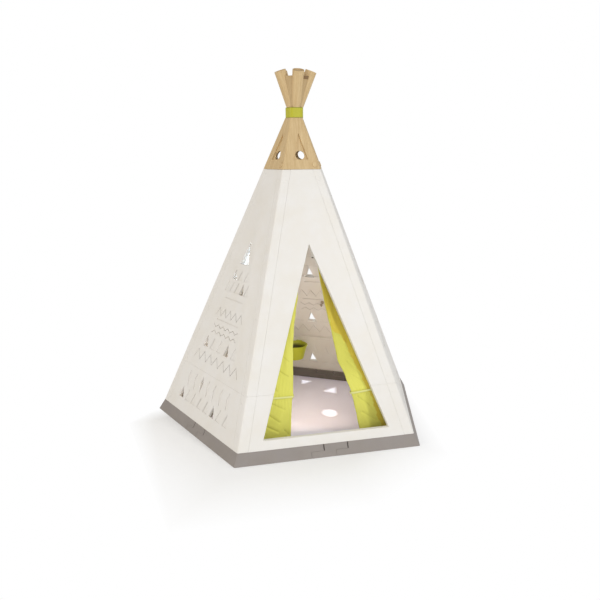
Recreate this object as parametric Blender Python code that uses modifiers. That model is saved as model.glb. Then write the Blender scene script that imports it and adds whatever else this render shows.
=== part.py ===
"""Play tent: a five-sided moulded tepee with a triangular door, tied-back curtains and a wood-look cap.

Metres, +Z up. The tent stands on the ground at z = 0 with its door facing -Y, and the origin is the
middle of its bounding box on the ground. Walls and corners are numbered counter-clockwise from above.
"""
from math import atan, cos, pi, radians, sin, tan

import bmesh
import bpy
from mathutils import Matrix, Vector

# Plan
WALLS = ("front", "right", "back_right", "back_left", "left")
CORNERS = ("front_right", "right", "back", "left", "front_left")
TURN = 2 * pi / 5
HALF_TURN = pi / 5
FOOT_RADIUS = 0.798      # corner of the base on the ground
WALL_RADIUS = 0.7615     # corner of the walls where they stand on the base
CAP_RADIUS = 0.170       # corner of the walls under the cap
BASE_INSIDE = 0.713      # inner corner of the base

# Heights above the ground
BASE_HEIGHT = 0.056
SILL_Z = 0.098
JOINT_Z = 0.299          # joint between the lower and upper wall panels
DOOR_APEX_Z = 0.986
CAP_Z = 1.353
NECK_Z = 1.613
CROWN_Z = 1.640          # joint between cap and crown, under the band
BAND_TOP_Z = 1.665
TOTAL_HEIGHT = 1.856

# Moulding
CORNER_ROUNDING = 0.006  # how far back along each wall the outer corners start to round
WALL = 0.025             # wall thickness, square to the wall
GAP = 0.0004             # clearance between touching pieces
SEAM = 0.0012            # visible gap round each wall panel
STRIP_FOOT = 0.051       # width of a corner strip on each wall, at the base
STRIP_TOP = 0.042        # and under the cap
DOOR_HALF = 0.319        # half the door's width at the sill
ENGRAVING = 0.0035
GROOVE_ABOVE = 0.012     # groove along the panel joint, inside: its reach above and below the joint
GROOVE_BELOW = 0.007
GROOVE_DEPTH = 0.013
WEB = 0.013              # thickness of the wall round each opening, where it is sunk from inside
POCKET = 1.28            # size of that sunk place, against the opening

ROUNDING = 0.006         # how far back along each side the base's corners start to round

# The walls lean in by this angle
WALL_APOTHEM = WALL_RADIUS * cos(HALF_TURN)
CAP_APOTHEM = CAP_RADIUS * cos(HALF_TURN)
LEAN = atan((WALL_APOTHEM - CAP_APOTHEM) / (CAP_Z - BASE_HEIGHT))
SLOPE = (WALL_RADIUS - CAP_RADIUS) / (CAP_Z - BASE_HEIGHT)
APEX_SLANT = WALL_APOTHEM / sin(LEAN)
CORNER_CUT = ROUNDING * tan(0.3 * pi) * (1 / sin(0.3 * pi) - 1)
AXIS_Y = -(FOOT_RADIUS - CORNER_CUT - FOOT_RADIUS * cos(HALF_TURN)) / 2

# Colours, linear
IVORY = (0.86, 0.84, 0.80)
STONE = (0.30, 0.27, 0.26)
TAN = (0.68, 0.45, 0.20)
LIME = (0.42, 0.45, 0.03)
PALE_LIME = (0.62, 0.62, 0.16)
SMOKE = (0.09, 0.08, 0.07)


def clear_scene():
    for obj in list(bpy.data.objects):
        bpy.data.objects.remove(obj)


def collection(name):
    made = bpy.data.collections.new(name)
    bpy.context.scene.collection.children.link(made)
    return made


def material(name, colour, roughness):
    made = bpy.data.materials.new(name)
    made.use_nodes = True
    shader = made.node_tree.nodes["Principled BSDF"]
    shader.inputs["Base Color"].default_value = (*colour, 1)
    shader.inputs["Roughness"].default_value = roughness
    shader.inputs["Metallic"].default_value = 0
    made.diffuse_color = (*colour, 1)
    return made


def place(name, mesh, matrix, finish):
    """Add a finished piece to the tent."""
    obj = bpy.data.objects.new(name, mesh)
    PARTS.objects.link(obj)
    obj.matrix_world = matrix
    if not mesh.materials:
        mesh.materials.append(finish)
    return obj


def cutter(name, mesh, matrix=Matrix.Identity(4)):
    obj = bpy.data.objects.new(name, mesh)
    CUTTERS.objects.link(obj)
    obj.matrix_world = matrix
    obj.hide_render = True
    obj.display_type = "WIRE"
    return obj


def to_mesh(bm, name):
    bmesh.ops.recalc_face_normals(bm, faces=bm.faces[:])
    mesh = bpy.data.meshes.new(name)
    bm.to_mesh(mesh)
    bm.free()
    return mesh


def working_object(data):
    work = bpy.data.objects.new("work", data)
    bpy.context.scene.collection.objects.link(work)
    return work


def combine(mesh, operation, *tools):
    """The mesh after a Boolean with each tool in turn."""
    work = working_object(mesh)
    for tool in tools:
        boolean = work.modifiers.new(operation.title(), "BOOLEAN")
        boolean.operation = operation
        boolean.object = tool
    result = evaluated(work, mesh.name)
    bpy.data.objects.remove(work)
    return result


def evaluated(obj, name):
    bpy.context.view_layer.update()
    graph = bpy.context.evaluated_depsgraph_get()
    result = bpy.data.meshes.new_from_object(obj.evaluated_get(graph))
    result.name = name
    return result


def welded(work, name):
    """The closed mesh of a working object whose caps or seams are still loose. The object goes."""
    mesh = evaluated(work, name)
    bpy.data.objects.remove(work)
    bm = bmesh.new()
    bm.from_mesh(mesh)
    bmesh.ops.remove_doubles(bm, verts=bm.verts[:], dist=0.00001)
    return to_mesh(bm, name)


def prism_mesh(name, outlines, low, high):
    """Flat outlines in the XY plane, drawn out from one height to another."""
    curve = bpy.data.curves.new(name, "CURVE")
    curve.dimensions = "2D"
    curve.fill_mode = "BOTH"
    curve.extrude = (high - low) / 2
    for outline in outlines:
        spline = curve.splines.new("POLY")
        spline.points.add(len(outline) - 1)
        spline.use_cyclic_u = True
        for point, (x, y) in zip(spline.points, outline):
            point.co = (x, y, 0, 1)
    mesh = welded(working_object(curve), name)
    mesh.transform(Matrix.Translation((0, 0, (low + high) / 2)))
    return mesh


def loft(name, sections):
    """A closed body through sections of equally many points."""
    bm = bmesh.new()
    rings = [[bm.verts.new(point) for point in section] for section in sections]
    bm.faces.new(rings[0])
    bm.faces.new(rings[-1])
    count = len(rings[0])
    for lower, upper in zip(rings, rings[1:]):
        for i in range(count):
            j = (i + 1) % count
            bm.faces.new((lower[i], lower[j], upper[j], upper[i]))
    return to_mesh(bm, name)


def cone(name, low_z, low_radius, high_z, high_radius, sides=5, turn=0.0):
    """An upright cone, prism or cylinder on the tent's axis. Five sides are set like the walls."""
    bm = bmesh.new()
    bmesh.ops.create_cone(bm, cap_ends=True, segments=sides, radius1=low_radius, radius2=high_radius,
                          depth=high_z - low_z)
    start = bm.verts[:][0].co
    first = Vector((start.x, start.y)).angle_signed(Vector((1, 0)))
    corner = -pi / 2 - HALF_TURN + turn
    bmesh.ops.transform(bm, matrix=Matrix.Rotation(corner - first, 4, "Z"), verts=bm.verts[:])
    bmesh.ops.translate(bm, vec=(0, 0, (low_z + high_z) / 2), verts=bm.verts[:])
    return to_mesh(bm, name)


def tube(name, points, radius, resolution=2):
    """A round rod along straight runs, as a closed mesh."""
    curve = bpy.data.curves.new(name, "CURVE")
    curve.dimensions = "3D"
    curve.bevel_depth = radius
    curve.bevel_resolution = resolution
    curve.use_fill_caps = True
    spline = curve.splines.new("POLY")
    spline.points.add(len(points) - 1)
    for point, place_at in zip(spline.points, points):
        point.co = (*place_at, 1)
    return welded(working_object(curve), name)


def turned(name, profile, steps):
    """A body turned about Z from a profile of (radius, height), inside first, then down the outside."""
    mesh = bpy.data.meshes.new(name)
    points = [(radius, 0, height) for radius, height in profile]
    mesh.from_pydata(points, [(i, i + 1) for i in range(len(points) - 1)], [])
    work = working_object(mesh)
    screw = work.modifiers.new("Turn", "SCREW")
    screw.steps = steps
    screw.render_steps = steps
    screw.use_merge_vertices = True
    screw.merge_threshold = 0.00001
    return welded(work, name)


def smooth(mesh, angle=35):
    mesh.shade_smooth()
    mesh.set_sharp_from_angle(angle=radians(angle))
    return mesh


# Frames and lines of a wall. In a wall's frame X runs to the right seen from outside, Y up the
# slope from the base, and Z outward, with the outer face at zero.
AXIS = Matrix.Translation((0, AXIS_Y, 0))


def turned_frame(k):
    return AXIS @ Matrix.Rotation(k * TURN, 4, "Z")


def leaning(apothem, height, lean):
    """A frame on a face of the front wall's direction, leaning in by the angle."""
    across = Vector((1, 0, 0))
    up = Vector((0, sin(lean), cos(lean)))
    out = across.cross(up)
    frame = Matrix((across, up, out)).transposed().to_4x4()
    frame.translation = (0, -apothem, height)
    return frame


FRONT = leaning(WALL_APOTHEM, BASE_HEIGHT, LEAN)


def wall_frame(k):
    return turned_frame(k) @ FRONT


def slant(height, depth=0.0):
    """How far up the slope a level line at this height lies, at a depth under the outer face."""
    return (height - BASE_HEIGHT + depth * sin(LEAN)) / cos(LEAN)


def half_wall(y):
    """Half the width of a wall at a place up the slope."""
    return WALL_APOTHEM * tan(HALF_TURN) * (1 - y / APEX_SLANT)


def strip_width(y):
    share = y / slant(CAP_Z)
    return STRIP_FOOT + (STRIP_TOP - STRIP_FOOT) * share


def strip_line(y):
    """Where a corner strip ends, out from the middle of its wall."""
    return half_wall(y) - strip_width(y)


def panel_line(y):
    return strip_line(y) - SEAM


def jamb_line(y):
    share = (slant(DOOR_APEX_Z) - y) / (slant(DOOR_APEX_Z) - slant(SILL_Z))
    return DOOR_HALF * share


def level(line, side, height):
    """A corner of a panel on a level edge: its outer and its inner point."""
    outer = slant(height)
    inner = slant(height, WALL)
    return (side * line(outer), outer), (side * line(inner), inner)


def slab(name, corners):
    """A wall panel from its corners, each an outer and an inner point."""
    inner = [(x, y, -WALL) for _, (x, y) in corners]
    outer = [(x, y, 0) for (x, y), _ in corners]
    return loft(name, (inner, outer))


# The walls' moulded pattern: plain triangles, zigzags, lines and hanging lozenges
def triangle(x, base_z, apex_z, half):
    low = slant(base_z)
    return [(x - half, low), (x + half, low), (x, slant(apex_z))]


def zigzag(half, low_z, high_z, teeth, thickness=0.005):
    """The outline of a zigzag band."""
    points = []
    for i in range(2 * teeth + 1):
        height = high_z if i % 2 else low_z
        points.append((-half + half * i / teeth, slant(height)))
    lower = [(x, y - thickness / 2) for x, y in points]
    upper = [(x, y + thickness / 2) for x, y in reversed(points)]
    return lower + upper


def line_mark(half, height, thickness=0.004):
    y = slant(height)
    return [(-half, y), (half, y), (half, y + thickness), (-half, y + thickness)]


def lozenge(x, low_z, high_z, half):
    low = slant(low_z)
    high = slant(high_z)
    return [(x, low), (x + half, low + 0.6 * (high - low)), (x, high), (x - half, low + 0.6 * (high - low))]


def row(centres, base_z, apex_z, half, open_ones):
    """A row of triangles: those cut through and those only engraved."""
    cut = []
    marked = []
    for i, x in enumerate(centres):
        outline = triangle(x, base_z, apex_z, half)
        (cut if i in open_ones else marked).append(outline)
    return cut, marked


def spread(count, spacing):
    return [spacing * (i - (count - 1) / 2) for i in range(count)]


def upper_pattern(closed_top=False):
    """The upper panels' pattern. One wall has three closed triangles where the others have a large window."""
    cut = [] if closed_top else [triangle(0, 0.868, 0.988, 0.042)]
    marked = [line_mark(0.093, 0.684), line_mark(0.120, 0.569)]
    if closed_top:
        marked += [triangle(x, 0.847, 0.905, 0.024) for x in spread(2, 0.0625)]
        marked.append(triangle(0, 0.915, 0.973, 0.024))
    rows = (row(spread(3, 0.0625), 0.786, 0.838, 0.022, (0,)),
            row(spread(5, 0.0515), 0.720, 0.777, 0.023, (3,)),
            row(spread(5, 0.0790), 0.417, 0.478, 0.026, (0, 3)))
    for opened, engraved in rows:
        cut += opened
        marked += engraved
    marked.append(zigzag(0.145, 0.590, 0.630, 5))
    marked.append(zigzag(0.137, 0.497, 0.512, 5))
    marked.append(zigzag(0.137, 0.545, 0.530, 5))
    marked.append(zigzag(0.252, 0.345, 0.392, 7))
    return cut, marked


def lower_pattern():
    cut, marked = row(spread(8, 0.0750), 0.121, 0.182, 0.026, (0, 5))
    for i, x in enumerate(spread(7, 0.0758)):
        (cut if i == 2 else marked).append(lozenge(x, 0.186, 0.276, 0.014))
    return cut, marked


def enlarged(outline, factor):
    """An outline scaled about its middle."""
    middle = Vector((0, 0))
    for point in outline:
        middle += Vector(point) / len(outline)
    return [tuple(middle + (Vector(point) - middle) * factor) for point in outline]


def carve(mesh, pattern, grooves=()):
    """Cut a panel's openings right through, its marks into both faces and its grooves inside."""
    cut, marked = pattern
    over = 0.002
    pockets = [enlarged(outline, POCKET) for outline in cut]
    layers = [(cut, -WALL - over, over), (pockets, -WALL - over, -WEB), (marked, -ENGRAVING, over),
              (marked, -WALL - over, ENGRAVING - WALL), (grooves, -WALL - over, GROOVE_DEPTH - WALL)]
    tools = [cutter(mesh.name + "_cuts", prism_mesh("cuts", outlines, low, high))
             for outlines, low, high in layers if outlines]
    return combine(mesh, "DIFFERENCE", *tools)


def round_edges(mesh, offset, segments, chosen):
    """Round the edges of a mesh that the test chooses."""
    bm = bmesh.new()
    bm.from_mesh(mesh)
    edges = [edge for edge in bm.edges if chosen(*[vert.co for vert in edge.verts])]
    bmesh.ops.bevel(bm, geom=edges, offset=offset, segments=segments, profile=0.5, affect="EDGES")
    return to_mesh(bm, mesh.name)


def corner_radius(height, depth=0.0):
    """Distance from the axis to a corner of the walls, at a depth under their outer faces."""
    return WALL_RADIUS - SLOPE * (height - BASE_HEIGHT) - depth / (cos(LEAN) * cos(HALF_TURN))


def on_corner(point):
    """Whether a point lies on the walls' outer corner line."""
    return abs(Vector((point.x, point.y)).length - corner_radius(point.z)) < 0.001


def round_corners(mesh, offset):
    return round_edges(mesh, offset, 3, lambda a, b: on_corner(a) and on_corner(b) and abs(a.z - b.z) > 0.05)


def rounded_prism(name, low_z, high_z, radius):
    """An upright five-sided prism with well rounded corners, like the cap's neck."""
    mesh = cone(name, low_z, radius, high_z, radius)
    return round_edges(mesh, NECK_ROUNDING, 4, lambda a, b: abs(a.z - b.z) > (high_z - low_z) / 2)


def base_ring(name):
    ring = cone(name, 0, FOOT_RADIUS, BASE_HEIGHT, WALL_RADIUS)
    ring = round_edges(ring, ROUNDING, 2, lambda low, high: abs(low.z - high.z) > BASE_HEIGHT / 2)
    bore = cutter(name + "_bore", cone("bore", -0.01, BASE_INSIDE, BASE_HEIGHT + 0.01, BASE_INSIDE))
    return combine(ring, "DIFFERENCE", bore)


# The clip that joins two base corners in the middle of a side is stepped, so that neither can lift
CLIP_STEP_Z = 0.027
CLIP_NOTCH = 0.0040      # open gap at each end of its upper half
CLIP_UPPER = (-0.027, 0.098)
CLIP_LOWER = (-0.0905, 0.0345)


def clip_outline(grow, notch=0.0):
    """The stepped outline of a base clip, as (along the side, height)."""
    (upper_left, upper_right), (lower_left, lower_right) = CLIP_UPPER, CLIP_LOWER
    top = BASE_HEIGHT + 0.01
    upper_left += notch - grow
    upper_right += grow - notch
    return [(lower_left - grow, -0.01), (lower_right + grow, -0.01), (lower_right + grow, CLIP_STEP_Z - grow),
            (upper_right, CLIP_STEP_Z - grow), (upper_right, top), (upper_left, top),
            (upper_left, CLIP_STEP_Z + grow), (lower_left - grow, CLIP_STEP_Z + grow)]


def clip_tool(name, k, grow, notch=0.0):
    """A stepped block across the base at the middle of side k."""
    mesh = prism_mesh(name, [clip_outline(grow, notch)], -FOOT_RADIUS, -BASE_INSIDE / 2)
    upright = Matrix.Rotation(pi / 2, 4, "X") @ Matrix.Scale(-1, 4, (0, 0, 1))
    mesh.transform(upright)
    mesh.flip_normals()
    return cutter(name, mesh, Matrix.Rotation(k * TURN, 4, "Z"))


def make_base():
    reach = 1.5
    wedge = [(0, 0), (0, -reach), (reach, -reach),
             (reach * cos(TURN - pi / 2), reach * sin(TURN - pi / 2))]
    sector = cutter("base_sector", prism_mesh("sector", [wedge], -0.01, BASE_HEIGHT + 0.01))
    corner = combine(base_ring("base_corner"), "INTERSECT", sector)
    gaps = [clip_tool("clip_gap", k, GAP / 2) for k in (0, 1)]
    corner = combine(corner, "DIFFERENCE", *gaps)
    clip = combine(base_ring("base_clip"), "INTERSECT", clip_tool("clip_block", 0, -GAP / 2, CLIP_NOTCH))
    for k, (wall, corner_name) in enumerate(zip(WALLS, CORNERS)):
        place("base_corner_" + corner_name, corner, turned_frame(k), stone)
        place("base_clip_" + wall, clip, turned_frame(k), stone)


CLOSED_WALL = "back_right"


def make_panels():
    foot = BASE_HEIGHT + GAP
    under_joint = JOINT_Z - SEAM / 2
    over_joint = JOINT_Z + SEAM / 2
    top = CAP_Z - SEAM
    lower = slab("lower_panel", [level(panel_line, -1, foot), level(panel_line, 1, foot),
                                 level(panel_line, 1, under_joint), level(panel_line, -1, under_joint)])
    upper = slab("upper_panel", [level(panel_line, -1, over_joint), level(panel_line, 1, over_joint),
                                 level(panel_line, 1, top), level(panel_line, -1, top)])
    groove_low = slant(JOINT_Z, WALL) - GROOVE_BELOW
    groove_high = slant(JOINT_Z, WALL) + GROOVE_ABOVE
    groove_half = half_wall(0)
    groove = [(-groove_half, groove_low), (groove_half, groove_low),
              (groove_half, groove_high), (-groove_half, groove_high)]
    lower = carve(lower, lower_pattern(), [groove])
    windowed = carve(upper, upper_pattern(), [groove])
    closed = carve(upper, upper_pattern(closed_top=True), [groove])
    for k, wall in enumerate(WALLS[1:], 1):
        place("lower_panel_" + wall, lower, wall_frame(k), ivory)
        place("upper_panel_" + wall, closed if wall == CLOSED_WALL else windowed, wall_frame(k), ivory)

    apex = (0, slant(DOOR_APEX_Z))
    sill = slab("lower_panel_front", [
        level(panel_line, -1, foot), level(panel_line, 1, foot), level(panel_line, 1, under_joint),
        level(jamb_line, 1, under_joint), level(jamb_line, 1, SILL_Z), level(jamb_line, -1, SILL_Z),
        level(jamb_line, -1, under_joint), level(panel_line, -1, under_joint)])
    arch = slab("upper_panel_front", [
        level(panel_line, -1, over_joint), level(jamb_line, -1, over_joint), (apex, apex),
        level(jamb_line, 1, over_joint), level(panel_line, 1, over_joint),
        level(panel_line, 1, top), level(panel_line, -1, top)])
    place("lower_panel_front", sill, wall_frame(0), ivory)
    place("upper_panel_front", arch, wall_frame(0), ivory)


def strip_section(height):
    """The level section of the corner strip between the front and right walls."""
    outer = slant(height)
    inner = slant(height, WALL)
    here = FRONT
    there = Matrix.Rotation(TURN, 4, "Z") @ FRONT
    direction = Vector((cos(HALF_TURN - pi / 2), sin(HALF_TURN - pi / 2), 0))
    up = Vector((0, 0, height))
    return [here @ Vector((strip_line(outer), outer, 0)),
            direction * corner_radius(height) + up,
            there @ Vector((-strip_line(outer), outer, 0)),
            there @ Vector((-strip_line(inner), inner, -WALL)),
            direction * corner_radius(height, WALL) + up,
            here @ Vector((strip_line(inner), inner, -WALL))]


def make_strips():
    for name, low, high in (("lower_strip_", BASE_HEIGHT + GAP, JOINT_Z - SEAM / 2),
                            ("upper_strip_", JOINT_Z + SEAM / 2, CAP_Z - SEAM)):
        mesh = loft(name + "mesh", (strip_section(low), strip_section(high)))
        mesh = round_corners(mesh, CORNER_ROUNDING)
        for k, corner in enumerate(CORNERS):
            place(name + corner, mesh, turned_frame(k), ivory)


# The cap goes on with the walls' slope up to the neck. Each face has a sunk triangle with a round
# hole, and a corner button that fixes the cap to the strip below it.
CAP_WALL = 0.012
RECESS_DEPTH = 0.007
RECESS = (1.4015, 1.535, 0.040)      # base height, apex height, half width
CAP_HOLE_Z = 1.4263
CAP_HOLE_RADIUS = 0.024
BUTTON_Z = 1.3755
BUTTON_X = 0.0715
BUTTON_RADIUS = 0.0135
BUTTON_SEAT = 0.003
BUTTON_PROUD = 0.0035
NECK_RADIUS = 0.0505
NECK_ROUNDING = 0.019


def cylinder(name, x, y, radius, low, high, sides=24):
    """A cylinder square to a wall, in the wall's frame."""
    bm = bmesh.new()
    bmesh.ops.create_cone(bm, cap_ends=True, segments=sides, radius1=radius, radius2=radius, depth=high - low)
    bmesh.ops.translate(bm, vec=(x, y, (low + high) / 2), verts=bm.verts[:])
    return to_mesh(bm, name)


def make_cap():
    cap = round_corners(cone("cap", CAP_Z, CAP_RADIUS, NECK_Z, corner_radius(NECK_Z)), CORNER_ROUNDING)
    neck = cutter("cap_neck", rounded_prism("neck", NECK_Z - 0.01, CROWN_Z - GAP, NECK_RADIUS))
    cap = combine(cap, "UNION", neck)
    tools = []
    hollow_top = 1.57
    inside = CAP_WALL / (cos(LEAN) * cos(HALF_TURN))
    hollow = cone("hollow", CAP_Z - 0.01, corner_radius(CAP_Z - 0.01) - inside,
                  hollow_top, corner_radius(hollow_top) - inside)
    tools.append(cutter("cap_hollow", hollow))
    base_z, apex_z, half = RECESS
    for k in range(5):
        frame = Matrix.Rotation(k * TURN, 4, "Z") @ FRONT
        recess = prism_mesh("recess", [triangle(0, base_z, apex_z, half)], -RECESS_DEPTH, 0.01)
        hole = cylinder("hole", 0, slant(CAP_HOLE_Z), CAP_HOLE_RADIUS, -0.04, 0.01)
        seat = cylinder("seat", BUTTON_X, slant(BUTTON_Z), BUTTON_RADIUS + GAP, -BUTTON_SEAT, 0.01)
        for tool_name, mesh in (("cap_recess", recess), ("cap_hole", hole), ("cap_seat", seat)):
            tools.append(cutter(tool_name, mesh, frame))
    cap = combine(cap, "DIFFERENCE", *tools)
    place("cap", cap, AXIS, wood)
    button = cylinder("button", BUTTON_X, slant(BUTTON_Z), BUTTON_RADIUS, GAP - BUTTON_SEAT, BUTTON_PROUD)
    smooth(button)
    for k, wall in enumerate(WALLS):
        place("cap_button_" + wall, button, wall_frame(k), wood)


# The band round the neck, and the crown of five crossed poles above it
BAND_THICKNESS = 0.0035
POLE_FOOT_RADIUS = 0.0235
POLE_END_RADIUS = 0.030
POLE_FOOT_Z = 1.640
POLE_FOOT_OFFSET = 0.010
POLE_END_OFFSET = 0.086
POLE_END_Z = TOTAL_HEIGHT - 0.0108
WEB_FOOT_RADIUS = 0.040
WEB_TOP_Z = 1.818
WEB_TOP_RADIUS = 0.082


def make_band():
    ring = rounded_prism("neck_band", NECK_Z + GAP, BAND_TOP_Z, NECK_RADIUS + BAND_THICKNESS)
    bore = cutter("band_bore", rounded_prism("bore", NECK_Z - 0.01, BAND_TOP_Z + 0.01, NECK_RADIUS + GAP))
    place("neck_band", combine(ring, "DIFFERENCE", bore), AXIS, lime)


def pole(name, k):
    """One pole of the crown, leaning out over the middle of wall k."""
    direction = Vector((cos(k * TURN - pi / 2), sin(k * TURN - pi / 2), 0))
    foot = direction * POLE_FOOT_OFFSET + Vector((0, 0, POLE_FOOT_Z))
    end = direction * POLE_END_OFFSET + Vector((0, 0, POLE_END_Z))
    along = end - foot
    bm = bmesh.new()
    bmesh.ops.create_cone(bm, cap_ends=True, segments=14, radius1=POLE_FOOT_RADIUS, radius2=POLE_END_RADIUS,
                          depth=along.length)
    turn = along.to_track_quat("Z", "Y").to_matrix().to_4x4()
    turn.translation = (foot + end) / 2
    bmesh.ops.transform(bm, matrix=turn, verts=bm.verts[:])
    return to_mesh(bm, name)


def make_crown():
    foot = BAND_TOP_Z + GAP
    web = cone("crown", foot - 0.005, WEB_FOOT_RADIUS, WEB_TOP_Z, WEB_TOP_RADIUS, sides=30)
    crown = combine(web, "UNION", *[cutter("crown_pole", pole("pole", k)) for k in range(5)])
    below = cutter("crown_below", cone("below", foot - 0.1, 0.1, foot, 0.1, sides=12))
    crown = combine(crown, "DIFFERENCE", below)
    neck = cutter("crown_neck", rounded_prism("neck", CROWN_Z, foot + 0.006, NECK_RADIUS - 0.004))
    crown = combine(crown, "UNION", neck)
    place("crown", smooth(crown, 40), AXIS, wood)


# Curtains. Each hangs from a hook near the door's apex and is tied back to the jamb, with its cloth
# doubled: a back layer comes in from the jamb, turns at the inner edge and goes back as the front layer.
# The edges are (height, distance out from the middle of the door); depths are behind the outer face.
CURTAIN_THICKNESS = 0.004
LAYER = 0.005            # from the middle of the doubled cloth to each layer
CURTAIN_TOP_Z = 0.905
CURTAIN_LOW_Z = 0.040
TOP_DEPTH = 0.066
LOW_DEPTH = 0.0474
FORWARD_Z = (0.45, 0.75)  # the cloth comes forward between these heights
RIPPLE = 0.003
COLUMNS = 8              # of each layer
TURN_COLUMNS = 6         # of the turn at the inner edge
ROWS_BELOW = 7
ROWS_ABOVE = 18
TIE_Z = 0.272
TIE_HEIGHT = 0.010
TIE_THICKNESS = 0.003
HOOK_Z = 0.910
HOOK_DEPTH = 0.062
HOOK_RADIUS = 0.003
HOOK_X = (0.024, 0.092)  # from the tip to the foot of a curtain's hook
TIE_CLEARANCE = 0.0065   # from the cloth's edge to the tie
TIE_HALF = 0.0120        # half the tie's inside, front to back
EDGES = {
    ("left", "inner"): ((0.905, 0.037), (0.725, 0.070), (0.657, 0.088), (0.576, 0.108), (0.476, 0.125),
                        (0.376, 0.133), (0.277, 0.143), (0.245, 0.150), (0.147, 0.154), (0.040, 0.158)),
    ("left", "outer"): ((0.905, 0.082), (0.760, 0.115), (0.503, 0.200), (0.330, 0.262), (0.272, 0.258),
                        (0.040, 0.345)),
    ("right", "inner"): ((0.905, 0.048), (0.809, 0.055), (0.703, 0.066), (0.626, 0.075), (0.557, 0.086),
                         (0.419, 0.101), (0.335, 0.1345), (0.255, 0.158), (0.210, 0.171), (0.122, 0.191),
                         (0.040, 0.207)),
    ("right", "outer"): ((0.905, 0.085), (0.680, 0.150), (0.511, 0.207), (0.330, 0.268), (0.272, 0.266),
                         (0.150, 0.322), (0.040, 0.358)),
}


def smooth_step(share):
    share = max(0, min(1, share))
    return share * share * (3 - 2 * share)


def between(table, height):
    """A smooth value from a short list of (height, value), highest first."""
    if height >= table[0][0]:
        return table[0][1]
    for (high, first), (low, second) in zip(table, table[1:]):
        if height >= low:
            share = (high - height) / (high - low)
            return first + (second - first) * (smooth_step(share) + share) / 2
    return table[-1][1]


def curtain_depth(height):
    """How far behind the door's outer face the doubled cloth hangs."""
    low, high = FORWARD_Z
    return LOW_DEPTH + (TOP_DEPTH - LOW_DEPTH) * smooth_step((height - low) / (high - low))


def loose(height):
    """How freely the cloth hangs: 0 at the tie, 1 away from it."""
    return min(1, abs(height - TIE_Z) / 0.13)


def curtain_section():
    """The doubled cloth's section: for each column its share out from the inner edge, its offset along X and
    its offset in depth."""
    back = [(1 - i / COLUMNS, 0, LAYER) for i in range(COLUMNS)]
    turn = []
    for i in range(TURN_COLUMNS + 1):
        angle = pi * i / TURN_COLUMNS
        turn.append((0, -LAYER * sin(angle), LAYER * cos(angle)))
    front = [((i + 1) / COLUMNS, 0, -LAYER) for i in range(COLUMNS)]
    return back + turn + front


def curtain_point(side, column, height):
    """A point of a curtain's middle surface."""
    sign = -1 if side == "left" else 1
    share, sideways, deeper = column
    inner = between(EDGES[side, "inner"], height) + LAYER
    outer = between(EDGES[side, "outer"], height)
    x = inner + (outer - inner) * share + sideways
    ripple = RIPPLE * loose(height) * sin(2 * pi * 1.4 * share + 5 * height + 0.6)
    held = max(height, TIE_Z)
    y = (held - BASE_HEIGHT) * tan(LEAN) - WALL_APOTHEM + curtain_depth(height) + deeper + ripple
    return Vector((sign * x, y, height))


def curtain_rows():
    """Heights of a curtain's rows, lowest first, with two close rows at the tie."""
    under = TIE_Z - 0.6 * TIE_HEIGHT
    over = TIE_Z + 0.6 * TIE_HEIGHT
    below = [CURTAIN_LOW_Z + (under - CURTAIN_LOW_Z) * i / ROWS_BELOW for i in range(ROWS_BELOW + 1)]
    above = [over + (CURTAIN_TOP_Z - over) * i / ROWS_ABOVE for i in range(ROWS_ABOVE + 1)]
    return below + above


def make_curtain(side):
    """A curtain of doubled cloth, as a sheet given its thickness."""
    rows = curtain_rows()
    columns = curtain_section()
    bm = bmesh.new()
    bmesh.ops.create_grid(bm, x_segments=len(columns) - 1, y_segments=len(rows) - 1, size=0.5)
    for vert in bm.verts:
        column_number = round((vert.co.x + 0.5) * (len(columns) - 1))
        row_number = round((vert.co.y + 0.5) * (len(rows) - 1))
        vert.co = curtain_point(side, columns[column_number], rows[row_number])
    work = working_object(to_mesh(bm, "curtain"))
    cloth = work.modifiers.new("Cloth", "SOLIDIFY")
    cloth.thickness = CURTAIN_THICKNESS
    cloth.offset = 0
    mesh = evaluated(work, "curtain")
    bpy.data.objects.remove(work)
    place("curtain_" + side, smooth(mesh, 60), AXIS, lime)


def tie_outline(half_x, half_y, grow):
    """The outline of a tie round the gathered cloth: a long loop with round ends."""
    points = []
    straight = half_x - half_y
    for end, start in ((1, -pi / 2), (-1, pi / 2)):
        for i in range(9):
            angle = start + pi * i / 8
            points.append((end * straight + (half_y + grow) * cos(angle), (half_y + grow) * sin(angle)))
    return points


def make_tie(side):
    """A tie-back: a flat loop round the curtain, hung on the hook beside the jamb."""
    sign = -1 if side == "left" else 1
    inner = between(EDGES[side, "inner"], TIE_Z) - TIE_CLEARANCE
    outer = TIE_HOOK_X + TIE_CLEARANCE
    half_x = (outer - inner) / 2
    hollow = cutter("tie_hollow", prism_mesh("hollow", [tie_outline(half_x, TIE_HALF, 0)], -0.02, 0.02))
    loop = tie_outline(half_x, TIE_HALF, TIE_THICKNESS)
    band = prism_mesh("curtain_tie", [loop], -TIE_HEIGHT / 2, TIE_HEIGHT / 2)
    band = combine(band, "DIFFERENCE", hollow)
    middle = Vector((sign * (inner + outer) / 2, TIE_Y, TIE_Z))
    place("curtain_tie_" + side, band, AXIS @ Matrix.Translation(middle), pale_lime)


TIE_HOOK_X = 0.284
TIE_HOOK_DEPTH = 0.050
TIE_HOOK_RISE = 0.030
TIE_HOOK_FALL = 0.016    # how far below the tie the hook bends up
TIE_HOOK_BEND = FRONT @ Vector((TIE_HOOK_X, slant(TIE_Z - TIE_HOOK_FALL, TIE_HOOK_DEPTH), -TIE_HOOK_DEPTH))
TIE_Y = TIE_HOOK_BEND.y


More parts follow.
